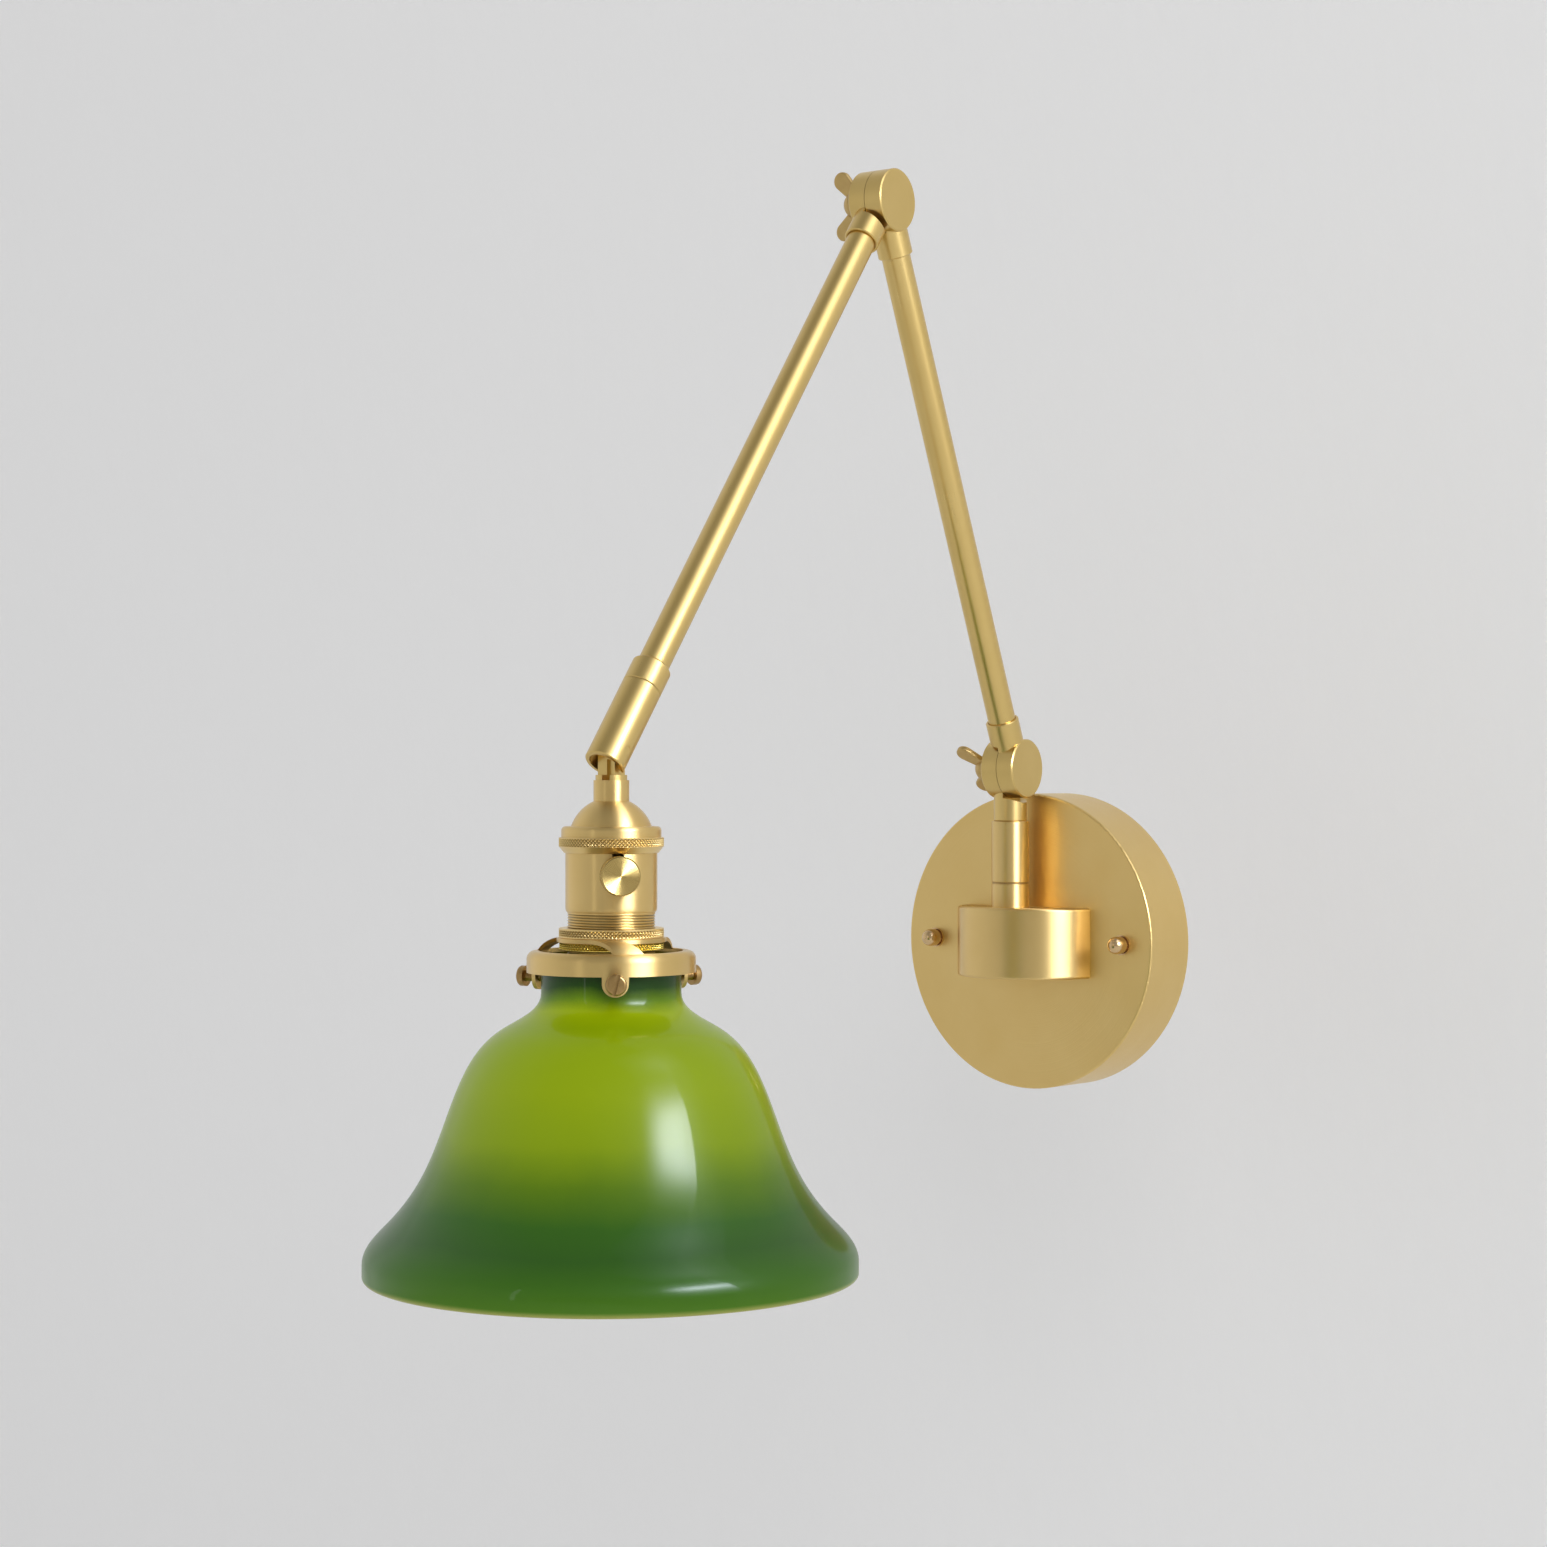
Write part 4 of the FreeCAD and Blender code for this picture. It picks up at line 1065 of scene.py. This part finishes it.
@dataclass
class Shade:
    """Blown glass bell with a pale lining."""

    wall: float = 3.4 * MM
    lip_radius: float = 28.5 * MM
    lip_height: float = 4.4 * MM
    lip_round: float = 0.8 * MM
    neck_radius: float = 25.6 * MM
    neck_height: float = 7.4 * MM
    bell: tuple[Point, ...] = (
        (25.6 * MM, 0.0),
        (40.8 * MM, 14.0 * MM),
        (54.6 * MM, 31.5 * MM),
        (61.4 * MM, 49.1 * MM),
        (68.8 * MM, 66.6 * MM),
        (81.8 * MM, 84.2 * MM),
        (90.4 * MM, 97.6 * MM),
    )
    segments: int = 256
    steps_per_span: int = 12
    rim_steps: int = 12

    def curve(self, points: list[Point]) -> list[Point]:
        """Smooth curve through points, plumb at both ends.

        Args:
            points: The (radius, height) points.

        Returns:
            Points along the curve.
        """
        place = np.array(points)
        chord = np.linalg.norm(np.diff(place, axis=0), axis=1)
        count = len(place)
        matrix, right = np.eye(count), np.zeros((count, 2))
        right[0] = right[-1] = (0.0, -1.0)
        for i in range(1, count - 1):
            before, after = chord[i - 1], chord[i]
            matrix[i, i - 1:i + 2] = (after, 2 * (before + after), before)
            rise, next_rise = (place[i] - place[i - 1]) / before, (place[i + 1] - place[i]) / after
            right[i] = 3 * (rise * after + next_rise * before)
        slope = np.linalg.solve(matrix, right)
        found = [tuple(place[0])]
        for i, span in enumerate(chord):
            for t in np.linspace(0, 1, self.steps_per_span + 1)[1:]:
                start, stop = (1 + 2 * t) * (1 - t) ** 2, t * t * (3 - 2 * t)
                lead, trail = t * (1 - t) ** 2 * span, t * t * (t - 1) * span
                ends = start * place[i] + stop * place[i + 1]
                found.append(tuple(ends + lead * slope[i] + trail * slope[i + 1]))
        return found

    def build(self) -> None:
        """Makes the bell in place of its solid."""
        spot = Turned.of("glass_shade")
        top = spot.height
        neck_low = top - self.lip_height - self.neck_height
        outer = self.curve([(radius, neck_low - drop) for radius, drop in self.bell])
        bore = self.neck_radius - self.wall
        rim = self.bell[-1][0] - self.wall / 2
        profile = [(bore, top)]
        lip = self.lip_round
        profile += corner((self.lip_radius - lip, top - lip), lip, 90, 0)
        profile += corner((self.lip_radius - lip, top - self.lip_height + lip), lip, 0, -90)
        profile += [(self.neck_radius, top - self.lip_height), *outer]
        profile += corner((rim, self.wall / 2), self.wall / 2, 0, -180, self.rim_steps)
        inner = self.offset(outer)
        first_inside = len(profile)
        profile += reversed(inner)
        piece = lathe("glass_bell", profile, self.segments)
        piece.data.materials.append(GREEN.material(spot.low, spot.high))
        piece.data.materials.append(LINING.material())
        for i in range((first_inside - 1) * self.segments, len(profile) * self.segments):
            piece.data.polygons[i].material_index = 1
        spot.stand(piece)
        seat(piece, "lamp_head", "green_glass", "glass_shade")

    def offset(self, outer: list[Point]) -> list[Point]:
        """Inner side of the wall: the outer points moved in by the wall.

        Args:
            outer: Points of the outer curve.

        Returns:
            Points of the inner curve.
        """
        place = np.array(outer)
        along = np.gradient(place, axis=0)
        along /= np.linalg.norm(along, axis=1)[:, None]
        along[0] = along[-1] = (0.0, -1.0)
        moved = place + self.wall * np.column_stack((along[:, 1], -along[:, 0]))
        return [tuple(p) for p in moved]


class Falls(Enum):
    """Which surfaces a light is for."""

    ON_MATT = "matt"
    ON_GLOSS = "gloss"


@dataclass(frozen=True)
class Panel:
    """Soft rectangular light that is brightest round a core and fades to one side."""

    name: str
    falls: Falls
    place: Vector
    target: Vector
    width: float
    height: float
    power: float
    tint: Colour = (1.0, 1.0, 1.0)
    fade: float = 0.0
    core: Point = (0.5, 0.5)
    reach: Point | None = None

    def build(self) -> None:
        """Makes the light."""
        data = bpy.data.lights.new(self.name, "AREA")
        data.shape = "RECTANGLE"
        data.size, data.size_y = self.width, self.height
        data.energy = self.power
        data.color = self.tint
        data.use_nodes = True
        net = Net(data.node_tree)
        across = net.make("ShaderNodeSeparateXYZ", {}, {
            0: net.make("ShaderNodeNewGeometry", output="Parametric")}, "X")
        level = 1.0
        if self.fade:
            level = net.make("ShaderNodeMapRange", {"interpolation_type": "SMOOTHSTEP"},
                             {"Value": across, "From Min": 0.0, "From Max": self.fade})
        if self.reach:
            aside = (across - self.core[0]) * (self.width / self.reach[0])
            above = (across.other("Y") - self.core[1]) * (self.height / self.reach[1])
            spread = aside * aside + above * above + 1
            level = level / (spread * spread)
        glowing = net.make("ShaderNodeEmission", {}, {"Strength": level})
        net.make("ShaderNodeOutputLight", {}, {"Surface": glowing})
        light = bpy.data.objects.new(self.name, data)
        light.location = self.place
        light.rotation_euler = (self.target - self.place).to_track_quat("-Z", "Y").to_euler()
        light.visible_camera = False
        light.visible_diffuse = self.falls is Falls.ON_MATT
        light.visible_glossy = self.falls is Falls.ON_GLOSS
        bpy.context.scene.collection.objects.link(light)


COOL = (0.95, 1.0, 1.2)
PANELS = (
    Panel("key_softbox", Falls.ON_MATT, Vector((3.0, -2.3, 2.2)), Vector((0.0, -0.2, 0.0)),
          width=3.2, height=3.2, power=54.0),
    Panel("side_softbox", Falls.ON_GLOSS, Vector((1.35, -0.495, 0.70)), Vector((0.0, -0.495, 0.70)),
          width=0.95, height=1.4, power=120.0, tint=COOL, fade=0.48, core=(0.63, 0.47), reach=(0.8, 0.27)),
    Panel("top_softbox", Falls.ON_GLOSS, Vector((0.58, -0.20, 0.90)), Vector((0.02, -0.24, 0.18)),
          width=0.8, height=0.8, power=5.0, tint=COOL, reach=(0.3, 0.3)),
    Panel("front_strip", Falls.ON_GLOSS, Vector((0.0, -2.2, 0.3)), Vector((0.0, -0.2, 0.0)),
          width=0.08, height=1.2, power=0.6),
)


@dataclass
class Studio:
    """Pale plaster wall and floor, soft light and the camera."""

    wall_half: float = 3.0
    wall_back: float = 0.17
    floor_drop: float = 0.75
    floor_thickness: float = 0.02
    wall_tone: Colour = (0.86, 0.86, 0.862)
    wall_lift: float = 0.16
    wall_roughness: float = 0.85
    wall_gloss: float = 0.1
    stroke_scale: float = 140.0
    stroke_stretch: float = 0.3
    stroke_depth: float = 1.0 * MM
    stroke_strength: float = 0.4
    room_tones: tuple[tuple[float, float], ...] = (
        (0.0, 0.45), (0.5, 0.58), (0.62, 0.56), (0.78, 0.40), (1.0, 0.34))
    left_tone: Colour = (0.80, 0.80, 0.81)
    left_from: float = 0.2
    left_gain: float = 1.2
    front_tone: Colour = (0.38, 0.375, 0.36)
    front_way: Vector = Vector((0.5, -0.86, -0.1))
    front_from: float = 0.70
    front_gain: float = 3.0
    camera_place: Vector = Vector((0.78411, -1.12972, 0.07381))
    camera_yaw: float = 40.21
    camera_lens: float = 71.11
    sensor: float = 36.0

    def build(self) -> None:
        """Makes the stage, the lights and the camera."""
        bpy.context.scene.view_settings.view_transform = "Standard"
        plaster = self.plaster()
        low, half = -self.floor_drop, self.wall_half
        wall = self.wall()
        floor = block("floor", Vector((-half, -2 * half, low - self.floor_thickness)),
                      Vector((half, self.wall_back, low)))
        for backdrop in (wall, floor):
            backdrop.data.materials.append(plaster)
        self.world()
        for panel in PANELS:
            panel.build()
        self.camera()

    def wall(self) -> Piece:
        """Flat sheet that faces the room, far enough back for the lamp to swing clear of it.

        Returns:
            The sheet.
        """
        half = self.wall_half
        shape = bmesh.new()
        shape.faces.new([shape.verts.new((x, self.wall_back, z)) for x, z in
                         ((-half, -half), (half, -half), (half, half), (-half, half))])
        return finished_mesh("wall", shape)

    def plaster(self) -> Material:
        """Matt paint on rough plaster, seen only from its painted side.

        Returns:
            The material.
        """
        net = ShaderNet("pale_plaster")
        strokes = net.point.vector("MULTIPLY", (1.0, 1.0, self.stroke_stretch))
        lumps = net.noise(strokes, self.stroke_scale, detail=4.0)
        seen = ray = net.make("ShaderNodeLightPath", output="Is Camera Ray")
        for kind in ("Is Glossy Ray", "Is Transmission Ray"):
            seen = seen.math("MAXIMUM", ray.other(kind))
        return net.finish(
            Base_Color=(*self.wall_tone, 1.0),
            Roughness=self.wall_roughness,
            Specular_IOR_Level=self.wall_gloss,
            Normal=net.bump(lumps, self.stroke_depth, self.stroke_strength),
            Emission_Color=net.mix(seen, (0.0, 0.0, 0.0), self.wall_tone),
            Emission_Strength=self.wall_lift,
            Alpha=1 - net.make("ShaderNodeNewGeometry", output="Backfacing"),
        )

    def world(self) -> None:
        """Soft room light, pale on the left and towards the horizon, and dim overhead and in front."""
        world = bpy.data.worlds.new("room")
        bpy.context.scene.world = world
        world.use_nodes = True
        net = Net(world.node_tree)
        ray = net.make("ShaderNodeTexCoord", output="Generated")
        rise = net.make("ShaderNodeSeparateXYZ", {}, {0: ray}, "Z") * 0.5 + 0.5
        stops = [(place, (grey, grey, grey)) for place, grey in self.room_tones]
        tone = net.make("ShaderNodeValToRGB", {"stops": stops}, {"Fac": rise})
        left = (ray.dot(-X_AXIS) - self.left_from).math("MAXIMUM", 0.0) * self.left_gain
        tone = net.mix(left, tone, self.left_tone)
        front = (ray.dot(self.front_way) - self.front_from).math("MAXIMUM", 0.0) * self.front_gain
        tone = net.mix(front, tone, self.front_tone)
        sky = net.make("ShaderNodeBackground", {}, {"Color": tone, "Strength": 1.0})
        net.make("ShaderNodeOutputWorld", {}, {"Surface": sky})

    def camera(self) -> None:
        """Camera at the photograph's place, level with the lower knuckle."""
        data = bpy.data.cameras.new("camera")
        data.lens = self.camera_lens
        data.sensor_width = self.sensor
        eye = bpy.data.objects.new("camera", data)
        eye.location = self.camera_place
        eye.rotation_euler = (math.pi / 2, 0, math.radians(self.camera_yaw))
        bpy.context.scene.collection.objects.link(eye)
        bpy.context.scene.camera = eye


def main() -> None:
    """Builds the lamp and its studio."""
    logging.basicConfig(level=logging.INFO, format="%(message)s")
    for part in (WallMount(), Arms(), Lampholder(), Switch(), Gallery(), Shade()):
        part.build()
        log.info("%s is ready", type(part).__name__)
    Studio().build()


if __name__ == "__main__":
    main()
